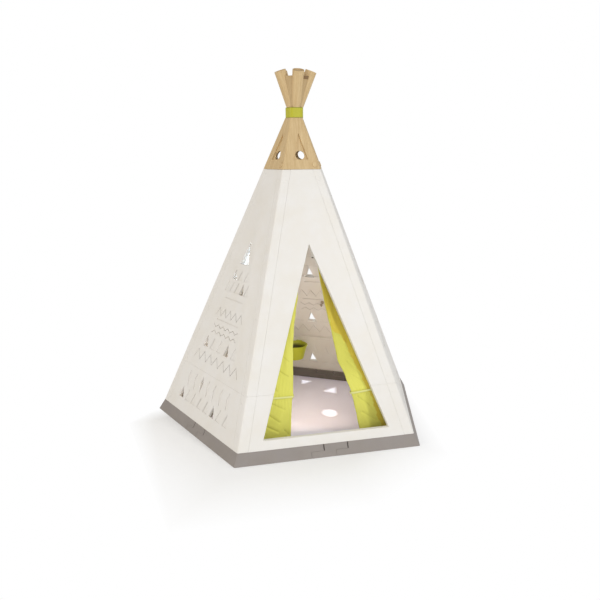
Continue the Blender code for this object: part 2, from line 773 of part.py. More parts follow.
def make_hooks():
    """The curtains' hooks and the ties' hooks, on the inner face of the front wall."""
    for side, sign in (("left", -1), ("right", 1)):
        y = slant(HOOK_Z, HOOK_DEPTH)
        tip_x, foot_x = HOOK_X
        foot = (sign * foot_x, y, -WALL - GAP)
        bend = (sign * foot_x, y, -HOOK_DEPTH)
        end = (sign * tip_x, y, -HOOK_DEPTH)
        hook = tube("curtain_hook", (foot, bend, end), HOOK_RADIUS)
        place("curtain_hook_" + side, smooth(hook), wall_frame(0), smoke)
        y = slant(TIE_Z - TIE_HOOK_FALL, TIE_HOOK_DEPTH)
        start = FRONT @ Vector((sign * TIE_HOOK_X, y, -WALL - GAP))
        corner = FRONT @ Vector((sign * TIE_HOOK_X, y, -TIE_HOOK_DEPTH))
        tip = corner + Vector((0, 0, TIE_HOOK_RISE))
        mesh = tube("tie_hook", (start, corner, tip), HOOK_RADIUS)
        place("tie_hook_" + side, smooth(mesh), AXIS, smoke)


# The hanging pot inside the back right wall stands upright; its hook and the bracket follow the slope
POT_WALL_NUMBER = 2
POT_X = 0.185
POT_RIM_Z = 0.263
POT_HEIGHT = 0.0885
POT_RADIUS = 0.084
POT_FOOT_RADIUS = 0.062
POT_WALL = 0.003
POT_LIP = 0.004
POT_STANDOFF = 0.012
POT_HOOK = 0.003
POT_HOOK_HALF = 0.018
BRACKET_HALF = 0.022


def pot_profile():
    rim = POT_RADIUS
    top = POT_HEIGHT
    return ((0, POT_WALL), (POT_FOOT_RADIUS - POT_WALL, POT_WALL), (rim - POT_WALL, top - 0.004),
            (rim + POT_LIP / 2, top), (rim + POT_LIP, top - 0.003), (rim + POT_LIP / 2, top - 0.008),
            (rim, top - 0.009), (POT_FOOT_RADIUS, 0), (0, 0))


def across_wall(name, outline, half):
    """An outline in depth and slope, drawn out along the wall about the pot's middle."""
    made = prism_mesh(name, [outline], -half, half)
    made.transform(Matrix(((0, 0, 1, POT_X), (0, 1, 0, 0), (1, 0, 0, 0), (0, 0, 0, 1))))
    made.flip_normals()
    return made


def make_pot():
    """A tapered pot with a rolled rim that hangs by a hook on a bracket."""
    back = -WALL - POT_STANDOFF
    top = slant(POT_RIM_Z, -back) - 0.001
    rim_back = FRONT @ Vector((POT_X, slant(POT_RIM_Z, -back), back))
    foot = Vector((POT_X, rim_back.y + POT_RADIUS + POT_LIP, POT_RIM_Z - POT_HEIGHT))
    standing = turned_frame(POT_WALL_NUMBER) @ Matrix.Translation(foot)

    lip = back + 0.0065
    arm = [(back - 0.006, top - 0.005), (lip, top - 0.005), (lip, top - 0.022),
           (lip + POT_HOOK, top - 0.022), (lip + POT_HOOK, top - 0.001), (back - 0.006, top - 0.001)]
    hook = across_wall("pot_hook", arm, POT_HOOK_HALF)
    hook.transform(standing.inverted() @ wall_frame(POT_WALL_NUMBER))
    pot = combine(turned("pot", pot_profile(), 28), "UNION", cutter("pot_hook", hook))
    place("pot", smooth(pot, 30), standing, lime)

    plate = [(-WALL - GAP, top - 0.030), (-WALL - GAP, top - 0.042), (back + 0.0025, top - 0.042),
             (back + 0.0025, top - 0.007), (back + 0.0058, top - 0.007), (back + 0.0058, top - 0.030)]
    bracket = across_wall("pot_bracket", plate, BRACKET_HALF)
    place("pot_bracket", bracket, wall_frame(POT_WALL_NUMBER), ivory)


WALL_HOOK_X = -0.008
WALL_HOOK_Z = 0.543
ROSE_RADIUS = 0.011
BALL_RADIUS = 0.0055


def make_wall_hook():
    """A round rose with a short hook that turns up to a ball."""
    y = slant(WALL_HOOK_Z)
    face = -WALL - GAP
    rose = cylinder("wall_hook", WALL_HOOK_X, y + 0.012, ROSE_RADIUS, face - 0.004, face, sides=20)
    bends = ((0.012, -0.002), (0, -0.014), (-0.004, -0.022), (0.004, -0.030), (0.012, -0.031))
    stem = tube("stem", [(WALL_HOOK_X, y + rise, face + inward) for rise, inward in bends], 0.0035)
    ball = bmesh.new()
    bmesh.ops.create_uvsphere(ball, u_segments=12, v_segments=8, radius=BALL_RADIUS)
    bmesh.ops.translate(ball, vec=(WALL_HOOK_X, y + 0.013, face - 0.031), verts=ball.verts[:])
    ball = cutter("wall_hook_ball", to_mesh(ball, "ball"))
    hook = combine(rose, "UNION", cutter("wall_hook_stem", stem), ball)
    place("wall_hook", smooth(hook, 40), wall_frame(POT_WALL_NUMBER), smoke)


clear_scene()
PARTS = collection("Play tent")
CUTTERS = collection("Cutters")
ivory = material("ivory plastic", IVORY, 0.45)
stone = material("stone grey plastic", STONE, 0.5)
wood = material("wood-look plastic", TAN, 0.5)
lime = material("lime", LIME, 0.7)
pale_lime = material("pale lime", PALE_LIME, 0.7)
smoke = material("smoke grey plastic", SMOKE, 0.5)

make_base()
make_panels()
make_strips()
make_cap()
make_band()
make_crown()
for curtain_side in ("left", "right"):
    make_curtain(curtain_side)
    make_tie(curtain_side)
make_hooks()
make_pot()
make_wall_hook()
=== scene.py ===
"""Play tent, dressed for rendering: moulded walls, wood-look cap and crown, folded curtains and a pale stage.

Metres, +Z up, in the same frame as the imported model. The door faces -Y.
"""

from math import atan, cos, exp, hypot, pi, radians, sin, tan

import bmesh
import bpy
from mathutils import Matrix, Vector


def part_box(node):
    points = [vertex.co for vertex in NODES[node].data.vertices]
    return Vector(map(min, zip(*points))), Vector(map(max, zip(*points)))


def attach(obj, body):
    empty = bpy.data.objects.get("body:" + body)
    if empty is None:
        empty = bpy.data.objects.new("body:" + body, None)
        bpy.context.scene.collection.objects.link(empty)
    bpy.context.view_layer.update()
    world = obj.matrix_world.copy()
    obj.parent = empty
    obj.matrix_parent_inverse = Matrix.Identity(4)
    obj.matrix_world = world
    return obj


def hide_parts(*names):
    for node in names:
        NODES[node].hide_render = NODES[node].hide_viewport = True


bl_info = {
    "name": "Play Tent Looks",
    "version": (1, 0, 0),
    "blender": (4, 5, 0),
    "location": "3D View > Sidebar > Play Tent",
    "description": "Dresses the play tent's frame with its finishes, curtains, fixings and stage",
    "category": "Object",
}

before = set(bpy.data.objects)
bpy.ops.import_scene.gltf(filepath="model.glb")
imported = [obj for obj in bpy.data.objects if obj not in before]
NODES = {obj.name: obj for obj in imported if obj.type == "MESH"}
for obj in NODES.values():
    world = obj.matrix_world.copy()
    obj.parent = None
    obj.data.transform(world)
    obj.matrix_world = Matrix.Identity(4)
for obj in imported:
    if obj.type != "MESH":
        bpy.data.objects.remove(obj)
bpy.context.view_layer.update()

# The tent's measures, as its solids have them
WALLS = ("front", "right", "back_right", "back_left", "left")
CORNERS = ("front_right", "right", "back", "left", "front_left")
TURN = 2 * pi / 5
HALF_TURN = pi / 5
WALL_RADIUS = 0.7615     # from the axis to the corners of the walls at their foot
CAP_RADIUS = 0.170       # and at the cap
BASE_RADIUS = 0.798
BASE_ROUNDING = 0.006
BASE_HEIGHT = 0.056
SILL_Z = 0.098
JOINT_Z = 0.299          # where the lower and the upper panels meet
DOOR_APEX_Z = 0.986
CAP_Z = 1.353
NECK_Z = 1.613
BAND_TOP_Z = 1.665
TOTAL_HEIGHT = 1.856
WALL = 0.025
GAP = 0.0004
SEAM = 0.0012
DOOR_HALF = 0.319
STRIP_FOOT = 0.051       # width of the corner strips on each wall at their foot
STRIP_TOP = 0.042
WALL_APOTHEM = WALL_RADIUS * cos(HALF_TURN)
LEAN = atan((WALL_APOTHEM - CAP_RADIUS * cos(HALF_TURN)) / (CAP_Z - BASE_HEIGHT))
APEX_SLANT = WALL_APOTHEM / sin(LEAN)

# The tent's upright axis stands a little in front of the middle of its box
corner_cut = BASE_ROUNDING * tan(0.3 * pi) * (1 / sin(0.3 * pi) - 1)
AXIS_Y = -(BASE_RADIUS - corner_cut - BASE_RADIUS * cos(HALF_TURN)) / 2
AXIS_FOOT = Vector((0, AXIS_Y, 0))
AXIS = Matrix.Translation(AXIS_FOOT)


def front_frame():
    """The front wall's own frame: X to the right, Y up the slope, Z outward."""
    across = Vector((1, 0, 0))
    up = Vector((0, sin(LEAN), cos(LEAN)))
    made = Matrix((across, up, across.cross(up))).transposed().to_4x4()
    made.translation = (0, -WALL_APOTHEM, BASE_HEIGHT)
    return made


def wall_frame(k):
    return AXIS @ Matrix.Rotation(k * TURN, 4, "Z") @ front_frame()


def outward(k):
    return wall_frame(k).to_3x3() @ Vector((0, 0, 1))


def slant(height, depth=0.0):
    """How far up a wall's slope a height is, at a depth under the outer face."""
    return (height - BASE_HEIGHT + depth * sin(LEAN)) / cos(LEAN)


def wall_line(y):
    """Where two walls meet, out from the middle of either."""
    return WALL_APOTHEM * tan(HALF_TURN) * (1 - y / APEX_SLANT)


def strip_line(y):
    """Where a corner strip ends, out from the middle of its wall."""
    return wall_line(y) - STRIP_FOOT - (STRIP_TOP - STRIP_FOOT) * y / slant(CAP_Z)


def jamb_line(y):
    return DOOR_HALF * (slant(DOOR_APEX_Z) - y) / (slant(DOOR_APEX_Z) - slant(SILL_Z))


def level_out(face, axis):
    """The level way out from an upright axis to the middle of a face."""
    return (face.calc_center_median() - axis) * Vector((1, 1, 0))


def clamped(value, low=0, high=1):
    return max(low, min(high, value))


def smooth_step(share):
    share = clamped(share)
    return share * share * (3 - 2 * share)


# Settings that a user would change
def colour_property(name, description, default):
    return bpy.props.FloatVectorProperty(name=name, description=description, subtype="COLOR", size=3,
                                         default=default, min=0, max=1)


def length_property(name, description, default):
    return bpy.props.FloatProperty(name=name, description=description, default=default, min=0,
                                   subtype="DISTANCE", unit="LENGTH", precision=4)


class TentColours(bpy.types.PropertyGroup):
    wall: colour_property("Walls", "Moulded ivory plastic of the walls", (0.86, 0.84, 0.81))
    base: colour_property("Base", "Stone grey plastic of the base", (0.30, 0.27, 0.255))
    wood: colour_property("Wood look", "Light tone of the wood-look plastic", (0.71, 0.53, 0.285))
    grain: colour_property("Grain", "Dark tone of the wood-look plastic's grain", (0.58, 0.405, 0.195))
    cloth: colour_property("Curtains", "Lime cloth of the curtains", (0.82, 0.80, 0.155))
    tie: colour_property("Ties", "Pale lime ribbon of the tie-backs", (0.84, 0.84, 0.32))
    band: colour_property("Band", "Lime plastic of the neck band", (0.52, 0.51, 0.022))
    pot: colour_property("Pot", "Lime plastic of the pot", (0.53, 0.58, 0.032))
    fixing: colour_property("Fixings", "Smoke grey plastic of the curtains' hooks", (0.10, 0.09, 0.08))
    knob: colour_property("Wall hook", "Grey brown plastic of the wall hook", (0.42, 0.35, 0.27))


class TentSizes(bpy.types.PropertyGroup):
    edge: length_property("Edge rounding", "Rounding of moulded edges", 0.0009)
    door_edge: length_property("Door rounding", "Rounding of the doorway's edges", 0.0030)
    base_edge: length_property("Base rounding", "Rounding of the base's edges", 0.0016)
    cloth: length_property("Cloth", "Thickness of the curtain cloth", 0.0014)
    hem: length_property("Hem", "Width of the curtains' hems", 0.012)
    stitch: length_property("Stitch pitch", "Distance between stitches", 0.0050)
    screw: length_property("Screw head", "Radius of the screw heads on the corner strips", 0.0048)


class TentStage(bpy.types.PropertyGroup):
    lens: bpy.props.FloatProperty(name="Lens", description="Focal length on a 36 mm sensor", default=41.915,
                                  min=10, max=200)
    lamps: bpy.props.FloatProperty(name="Lamps", description="Strength of the lamps in watts", default=100,
                                   min=0, unit="POWER")
    sky: bpy.props.FloatProperty(name="Sky", description="Strength of the even light from all round",
                                 default=0.58, min=0)


# Node trees
class Wire:
    """A value in a node tree. Plain maths on it adds the nodes that work it out."""

    def __init__(self, tree, socket):
        self.tree = tree
        self.socket = socket

    def __add__(self, other):
        return mathed("ADD", self, other)

    def __sub__(self, other):
        return mathed("SUBTRACT", self, other)

    def __rsub__(self, other):
        return mathed("SUBTRACT", other, self)

    def __mul__(self, other):
        return mathed("MULTIPLY", self, other)

    def __truediv__(self, other):
        return mathed("DIVIDE", self, other)

    def __rtruediv__(self, other):
        return mathed("DIVIDE", other, self)

    def __pow__(self, other):
        return mathed("POWER", self, other)


def connect(node, inputs):
    """Link a node's inputs to wires, or set them."""
    for key, value in inputs.items():
        if isinstance(value, Wire):
            value.tree.links.new(value.socket, node.inputs[key])
        else:
            node.inputs[key].default_value = value


def add(tree, kind, inputs=None, **settings):
    """A new node with its settings made and its inputs linked or set."""
    made = tree.nodes.new(kind)
    for name, value in settings.items():
        setattr(made, name, value)
    connect(made, inputs or {})
    return made


def wire(tree, kind, inputs=None, output=0, **settings):
    """One value that a new node gives."""
    return Wire(tree, add(tree, kind, inputs, **settings).outputs[output])


def wires(tree, node):
    """All the values that a node gives, by name."""
    return {socket.name: Wire(tree, socket) for socket in node.outputs}


def mathed(operation, *values, clamp=False):
    tree = next(value.tree for value in values if isinstance(value, Wire))
    return wire(tree, "ShaderNodeMath", dict(enumerate(values)), operation=operation, use_clamp=clamp)


def vector_of(tree, x=0.0, y=0.0, z=0.0):
    return wire(tree, "ShaderNodeCombineXYZ", {0: x, 1: y, 2: z})


def parts(vector):
    return wires(vector.tree, add(vector.tree, "ShaderNodeSeparateXYZ", {0: vector}))


def mapped(value, low_in, high_in, low_out=0.0, high_out=1.0):
    return wire(value.tree, "ShaderNodeMapRange", {"Value": value, "From Min": low_in, "From Max": high_in,
                                                   "To Min": low_out, "To Max": high_out})


def mix_colours(share, first, second):
    return wire(share.tree, "ShaderNodeMix", {0: share, 6: first, 7: second}, 2, data_type="RGBA")


def attribute(tree, name, output="Fac"):
    return wire(tree, "ShaderNodeAttribute", None, output, attribute_name=name)


def noise(place, scale, detail, roughness):
    return wire(place.tree, "ShaderNodeTexNoise", {"Vector": place, "Scale": scale, "Detail": detail,
                                                   "Roughness": roughness})


def stretched(place, scale):
    return wire(place.tree, "ShaderNodeMapping", {"Vector": place, "Scale": scale})


def relief(height, strength, distance):
    return wire(height.tree, "ShaderNodeBump", {"Strength": strength, "Distance": distance, "Height": height})


FLOAT, INT, VECTOR, GEOMETRY, MATERIAL = (
    "NodeSocket" + kind for kind in ("Float", "Int", "Vector", "Geometry", "Material"))


def new_tree(name, kind, inputs, outputs):
    """An empty node tree with named sockets: the tree, what it is given by name, and its output node."""
    tree = bpy.data.node_groups.new(name, kind)
    for socket, socket_type, default in inputs:
        made = tree.interface.new_socket(name=socket, in_out="INPUT", socket_type=socket_type)
        if default is not None:
            made.default_value = default
    for socket, socket_type in outputs:
        tree.interface.new_socket(name=socket, in_out="OUTPUT", socket_type=socket_type)
    return tree, wires(tree, tree.nodes.new("NodeGroupInput")), tree.nodes.new("NodeGroupOutput")


# Finishes
def shader_group(name, setting, default, *outputs):
    """An empty shader group that takes a place and one setting."""
    return new_tree(name, "ShaderNodeTree", [("Vector", VECTOR, None), (setting, FLOAT, default)],
                    [(output, FLOAT) for output in outputs])


def mould_grain_group():
    """Fine orange peel over slow unevenness, as blow moulding leaves."""
    tree, given, made = shader_group("Mould grain", "Grain size", 0.0016, "Height", "Blotches")
    fine = noise(given["Vector"], 1.0 / given["Grain size"], 3.0, 0.6)
    slow = noise(given["Vector"], 9.0, 3.0, 0.55)
    connect(made, {"Height": fine + slow * 4.0, "Blotches": mapped(slow, 0.3, 0.7)})
    return tree


def edge_wear_group():
    """Where a rounded edge is rubbed, from the attribute that marks the roundings."""
    tree, given, made = shader_group("Edge wear", "Amount", 0.5, "Mask")
    patchy = mapped(noise(given["Vector"], 45.0, 4.0, 0.6), 0.38, 0.62)
    connect(made, {"Mask": attribute(tree, "edge") * patchy * given["Amount"]})
    return tree


def ground_dust_group():
    """A thin film of dust that thins out up from the ground."""
    tree, given, made = shader_group("Ground dust", "Reach", 0.25, "Mask")
    share = mathed("SUBTRACT", 1.0, parts(given["Vector"])["Z"] / given["Reach"], clamp=True)
    patchy = mapped(noise(given["Vector"], 14.0, 4.0, 0.6), 0.3, 0.75)
    connect(made, {"Mask": share ** 2.0 * patchy})
    return tree


def wood_figure_group():
    """Long streaks and fine pores of wood, as the mould gives them, along Z of the vector."""
    tree, given, made = shader_group("Wood figure", "Streak width", 0.009, "Streaks", "Height")
    along = stretched(given["Vector"], (1, 1, 0.09))
    scale = 1.0 / given["Streak width"]
    streaks = noise(along, scale, 3.0, 0.55) * 0.65 + noise(along, scale * 5.0, 3.0, 0.6) * 0.35
    connect(made, {"Streaks": mapped(streaks, 0.36, 0.64), "Height": streaks})
    return tree


def weave_group():
    """A plain weave on the cloth's own UV map, in metres."""
    tree, given, made = shader_group("Plain weave", "Thread", 0.0009, "Height", "Slub")
    place = parts(given["Vector"])
    per_thread = pi / given["Thread"]
    across, along = (mathed("SINE", place[axis] * per_thread) for axis in "XY")
    slub = noise(stretched(given["Vector"], (1, 0.06, 1)), 420.0, 2.0, 0.5)
    connect(made, {"Height": mapped(across * along, -1.0, 1.0), "Slub": slub})
    return tree


GROUPS = {}
MATERIALS = {}
BLACK = (0, 0, 0, 1)
WHITE = (1, 1, 1, 1)
DUST = (0.47, 0.42, 0.36, 1)
DRIFT_TINT = (1.0, 0.985, 0.95)  # towards this the tone of moulded plastic drifts
# the colour that painted shade darkens the wood-look plastic towards
WOOD_SHADE = (0.20, 0.11, 0.04, 1)
# Painted shade: the light that reaches cloth in the jamb's painted shadow and at the bottom of a crease,
# against open cloth
JAMB_SHADOW_SCALE = (0.84, 0.69, 0.42)
DARK_SHADE_SCALE = (0.50, 0.50, 0.28)


def use_group(tree, key, inputs):
    return wires(tree, add(tree, "ShaderNodeGroup", inputs, node_tree=GROUPS[key]))


def started(name):
    """A new material with its Principled shader and the place on the object."""
    made = bpy.data.materials.new(name)
    made.use_nodes = True
    tree = made.node_tree
    return made, tree, tree.nodes["Principled BSDF"], wire(tree, "ShaderNodeTexCoord", None, "Object")


def scaled(colour, by):
    return (*[min(1.0, channel * by) for channel in colour], 1)


def tinted(colour, tint):
    return (*[channel * by for channel, by in zip(colour, tint)], 1)


def darkened(colour, strength, towards=BLACK):
    """The colour with painted shade: darker where the shade attribute marks a groove, a recess or an inner
    face.
    """
    return mix_colours(attribute(colour.tree, "shade") * strength, colour, towards)


def moulded_plastic(name, colour, roughness, drift=0.03, wear=0.25, dust=0.0, shade=0.25):
    """Moulded plastic: slow colour drift, fine grain, rubbed edges, a little dust by the ground, and painted
    shade where the shade attribute marks it.
    """
    made, tree, shader, place = started(name)
    grain = use_group(tree, "grain", {"Vector": place})
    rubbed = use_group(tree, "wear", {"Vector": place, "Amount": wear})["Mask"]
    drifted = tinted(colour, [(1 - drift) * tint for tint in DRIFT_TINT])
    base = mix_colours(grain["Blotches"], drifted, (*colour, 1))
    worn = mix_colours(rubbed, base, scaled(colour, 1.12))
    rough = mapped(grain["Blotches"], 0.0, 1.0, roughness - 0.05, roughness + 0.06)
    if dust:
        film = use_group(tree, "dust", {"Vector": place, "Reach": 0.22})["Mask"]
        worn = mix_colours(film * dust, worn, DUST)
        rough = mathed("ADD", rough, film * 0.2, clamp=True)
    connect(shader, {"Base Color": darkened(worn, shade), "Roughness": rough,
                     "Normal": relief(grain["Height"], 0.12, 0.0006)})
    return made


def wood_look(name, light, dark):
    """Tan plastic moulded with a wood grain, on the attribute that follows each face or pole, darkened by
    painted shade where the shade attribute marks it.
    """
    made, tree, shader, place = started(name)
    figure = use_group(tree, "wood", {"Vector": attribute(tree, "grain", "Vector"), "Streak width": 0.011})
    rubbed = use_group(tree, "wear", {"Vector": place, "Amount": 0.35})["Mask"]
    base = mix_colours(figure["Streaks"], (*dark, 1), (*light, 1))
    worn = mix_colours(rubbed, base, scaled(light, 1.15))
    connect(shader, {"Base Color": darkened(worn, 0.5, WOOD_SHADE),
                     "Roughness": mapped(figure["Streaks"], 0.0, 1.0, 0.58, 0.46),
                     "Normal": relief(figure["Height"], 0.35, 0.0012)})
    return made


def cloth_look(name, colour, thread):
    """Plain woven cotton with a soft sheen, on the cloth's UV map, with painted shade in the jamb's shadow
    and at the bottoms of the creases.
    """
    made, tree, shader, place = started(name)
    along = wire(tree, "ShaderNodeUVMap", uv_map="cloth")
    weave = use_group(tree, "weave", {"Vector": along, "Thread": thread})
    slow = mapped(noise(place, 7.0, 3.0, 0.5), 0.3, 0.7)
    toned = mix_colours(slow, scaled(colour, 0.94), (*colour, 1))
    woven = mix_colours(mapped(weave["Slub"], 0.35, 0.65) * 0.16, toned, scaled(colour, 0.80))
    # painted shade: first the jamb's shadow, then the creases' bottoms and the cloth above the tie
    jamb_shadowed = mix_colours(attribute(tree, "shade"), woven, tinted(colour, JAMB_SHADOW_SCALE))
    pressed = mix_colours(attribute(tree, "crease"), jamb_shadowed, tinted(colour, DARK_SHADE_SCALE))
    connect(shader, {"Base Color": pressed, "Roughness": 0.85, "Sheen Weight": 0.25, "Sheen Roughness": 0.5,
                     "Specular IOR Level": 0.25, "Normal": relief(weave["Height"], 0.35, 0.0003)})
    return made


# Each plastic's name and roughness, and what else sets it apart
PLASTICS = {
    "wall": ("Ivory moulded plastic", 0.50, {"wear": 0.3, "dust": 0.10}),
    "base": ("Stone grey plastic", 0.55, {"drift": 0.08, "wear": 0.5, "dust": 0.2, "shade": 0.45}),
    "band": ("Lime plastic", 0.45, {"drift": 0.05, "wear": 0.3, "shade": 0.35}),
    "pot": ("Lime pot plastic", 0.40, {"drift": 0.05, "wear": 0.3, "shade": 0.85}),
    "knob": ("Grey brown plastic", 0.45, {"drift": 0.1, "wear": 0.4}),
    "fixing": ("Smoke grey plastic", 0.42, {"drift": 0.1, "wear": 0.6}),
}
# Each cloth's name and colour, and the width of its threads
CLOTHS = {
    "cloth": ("Lime cotton", "cloth", 0.0009),
    "thread": ("Lime thread", "tie", 0.0004),
    "tie": ("Pale lime ribbon", "tie", 0.0007),
}


def make_finishes(colours):
    """All groups and materials, made once."""
    if MATERIALS:
        return
    GROUPS.update(grain=mould_grain_group(), wear=edge_wear_group(), dust=ground_dust_group(),
                  wood=wood_figure_group(), weave=weave_group())
    for key, (name, roughness, more) in PLASTICS.items():
        MATERIALS[key] = moulded_plastic(name, getattr(colours, key), roughness, **more)
    for key, (name, colour, thread) in CLOTHS.items():
        MATERIALS[key] = cloth_look(name, getattr(colours, colour), thread)
    MATERIALS["wood"] = wood_look("Wood-look plastic", colours.wood, colours.grain)


# Geometry Nodes
def geometry_tree(name, lengths, more=()):
    """An empty geometry tree that takes points, lengths and a finish."""
    inputs = [("Geometry", GEOMETRY, None), *[(key, FLOAT, value) for key, value in lengths.items()], *more]
    return new_tree(name, "GeometryNodeTree", [*inputs, ("Finish", MATERIAL, None)], [("Geometry", GEOMETRY)])


def cone(tree, sides, low_radius, high_radius, depth):
    return wire(tree, "GeometryNodeMeshCone", {"Vertices": sides, "Radius Top": high_radius,
                                               "Radius Bottom": low_radius, "Depth": depth})


def cylinder(tree, sides, radius, depth):
    return wire(tree, "GeometryNodeMeshCylinder", {"Vertices": sides, "Radius": radius, "Depth": depth})


def moved(mesh, across=0.0, height=0.0, tilt=0.0):
    tree = mesh.tree
    place, turn = vector_of(tree, y=across, z=height), vector_of(tree, tilt)
    return wire(tree, "GeometryNodeTransform", {"Geometry": mesh, "Translation": place, "Rotation": turn})


def combined(operation, first, second):
    """Two meshes joined, or the first with the second cut away."""
    made = add(first.tree, "GeometryNodeMeshBoolean", {"Self Intersection": True}, operation=operation,
               solver="EXACT")
    connect(made, {"Mesh 1" if operation == "DIFFERENCE" else "Mesh 2": first})
    connect(made, {"Mesh 2": second})
    return Wire(first.tree, made.outputs["Mesh"])


def aligned(tree, direction, inputs=None, **settings):
    """A turn towards a direction that the points hold."""
    vector = wire(tree, "GeometryNodeInputNamedAttribute", {"Name": direction}, data_type="FLOAT_VECTOR")
    return wire(tree, "FunctionNodeAlignRotationToVector", {**(inputs or {}), "Vector": vector}, **settings)


def on_points(points, mesh, turn):
    """An instance of a mesh on every point."""
    inputs = {"Points": points, "Instance": mesh, "Rotation": turn}
    return wire(points.tree, "GeometryNodeInstanceOnPoints", inputs)


def realized(instances):
    return wire(instances.tree, "GeometryNodeRealizeInstances", {"Geometry": instances})


def end_tree(mesh, given, made):
    """End a tree with real geometry in its finish."""
    done = {"Geometry": realized(mesh), "Material": given["Finish"]}
    connect(made, {"Geometry": wire(mesh.tree, "GeometryNodeSetMaterial", done)})
    return mesh.tree


def points_object(name, points):
    """Loose points that each hold one or two directions."""
    mesh = bpy.data.meshes.new(name)
    mesh.from_pydata([entry[0] for entry in points], [], [])
    for place_in_entry, direction in enumerate(("out", "along")[:len(points[0]) - 1], 1):
        layer = mesh.attributes.new(direction, "FLOAT_VECTOR", "POINT")
        layer.data.foreach_set("vector", [value for entry in points for value in entry[place_in_entry]])
    return linked(name, mesh)


def grown(base, tree, values):
    """The plain mesh that a tree grows on an object. The object goes."""
    modifier = base.modifiers.new("Grow", "NODES")
    modifier.node_group = tree
    sockets = {item.name: item.identifier for item in tree.interface.items_tree
               if item.item_type == "SOCKET" and item.in_out == "INPUT"}
    for name, value in values.items():
        modifier[sockets[name]] = value
    bpy.context.view_layer.update()
    graph = bpy.context.evaluated_depsgraph_get()
    mesh = bpy.data.meshes.new_from_object(base.evaluated_get(graph))
    bpy.data.objects.remove(base)
    return mesh


# Meshes
MERGE = 0.00002          # points closer together than this are one
FLAT = radians(0.6)      # faces that meet at less than this are one
SHARP = radians(28)      # edges over this are rounded


def linked(name, data):
    """A new object in the scene."""
    obj = bpy.data.objects.new(name, data)
    bpy.context.scene.collection.objects.link(obj)
    return obj


def placed(name, mesh, material, body="tent", replaces=()):
    """A finished piece at the origin, riding on its body."""
    obj = linked(name, mesh)
    mesh.materials.clear()
    mesh.materials.append(MATERIALS[material])
    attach(obj, body)
    if replaces:
        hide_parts(*replaces)
    return obj


def plain_mesh(name, bm):
    mesh = bpy.data.meshes.new(name)
    bm.to_mesh(mesh)
    bm.free()
    return mesh


def finished(name, bm, material, body="tent", replaces=()):
    return placed(name, plain_mesh(name, bm), material, body, replaces)


def shaded(obj, angle=30):
    """Smooth shading that keeps flat faces flat."""
    obj.data.shade_smooth()
    obj.data.set_sharp_from_angle(angle=radians(angle))
    weighted = obj.modifiers.new("Weighted normals", "WEIGHTED_NORMAL")
    weighted.keep_sharp = True
    return obj


def moulded(node, bm, material, body="tent", angle=30):
    """The finished form of a CAD node."""
    return shaded(finished("moulded_" + node, bm, material, body, [node]), angle)


def clean_copy(node):
    """A merged copy of a CAD node's mesh, its flat faces whole again."""
    bm = bmesh.new()
    bm.from_mesh(NODES[node].data)
    for layer in list(bm.loops.layers.uv):
        bm.loops.layers.uv.remove(layer)
    bmesh.ops.remove_doubles(bm, verts=bm.verts[:], dist=MERGE)
    bmesh.ops.dissolve_limit(bm, angle_limit=FLAT, verts=bm.verts[:], edges=bm.edges[:])
    return bm


def face_layer(bm, name):
    return bm.faces.layers.float.get(name) or bm.faces.layers.float.new(name)


def rounded(bm, width, chosen=None, segments=2):
    """Round the sharp edges, or those of them that are chosen, and mark the roundings for the wear."""
    layer = face_layer(bm, "edge")
    edges = [edge for edge in bm.edges if len(edge.link_faces) == 2 and edge.calc_face_angle() > SHARP]
    if chosen:
        edges = [edge for edge in edges if chosen(edge)]
    made = bmesh.ops.bevel(bm, geom=edges, offset=width, offset_type="OFFSET", segments=segments, profile=0.5,
                           affect="EDGES", clamp_overlap=True, loop_slide=True)
    for face in made["faces"]:
        face[layer] = 1.0


def cut_level(bm, height):
    """Cut all faces along a level plane."""
    everything = bm.verts[:] + bm.edges[:] + bm.faces[:]
    bmesh.ops.bisect_plane(bm, geom=everything, plane_co=(0, 0, height), plane_no=(0, 0, 1))


# Walls
OUTSIDE_SHADE = 0.15     # painted shade of the pattern outside
INSIDE_SHADE = 0.45      # and inside
GROOVE_SHADE = 2.2       # and of the groove inside along the panels' joint
GROOVE_FLOOR = WALL - 0.0145
GROOVE_SPAN = (JOINT_Z - 0.02, JOINT_Z + 0.03)
GROOVE_LENGTH = 0.3      # faces shorter than this don't belong to the groove
SKIN = 0.0004            # faces this near to a wall's outer or inner face belong to it
POCKET = 0.0045          # the sides of an opening's pocket reach deeper than this
STEEP = 0.5              # faces that look outward less than this are sides
THIN = 0.0032            # area over outline length below which an engraved floor is a line
NEAR_LINE = 0.002        # how near to a panel's outline its edges lie
NEAR_LEVEL = 0.0012
RIM_LEVELS = (BASE_HEIGHT + GAP, JOINT_Z - SEAM / 2, JOINT_Z + SEAM / 2, CAP_Z - SEAM)


def on_rim(face, inverse):
    """Whether a face or an edge lies along the outline of its wall panel."""
    places = [inverse @ vert.co for vert in face.verts]
    if all(abs(abs(place.x) - (strip_line(place.y) - SEAM)) < NEAR_LINE for place in places):
        return True
    return any(all(abs(vert.co.z - level) < NEAR_LEVEL for vert in face.verts) for level in RIM_LEVELS)


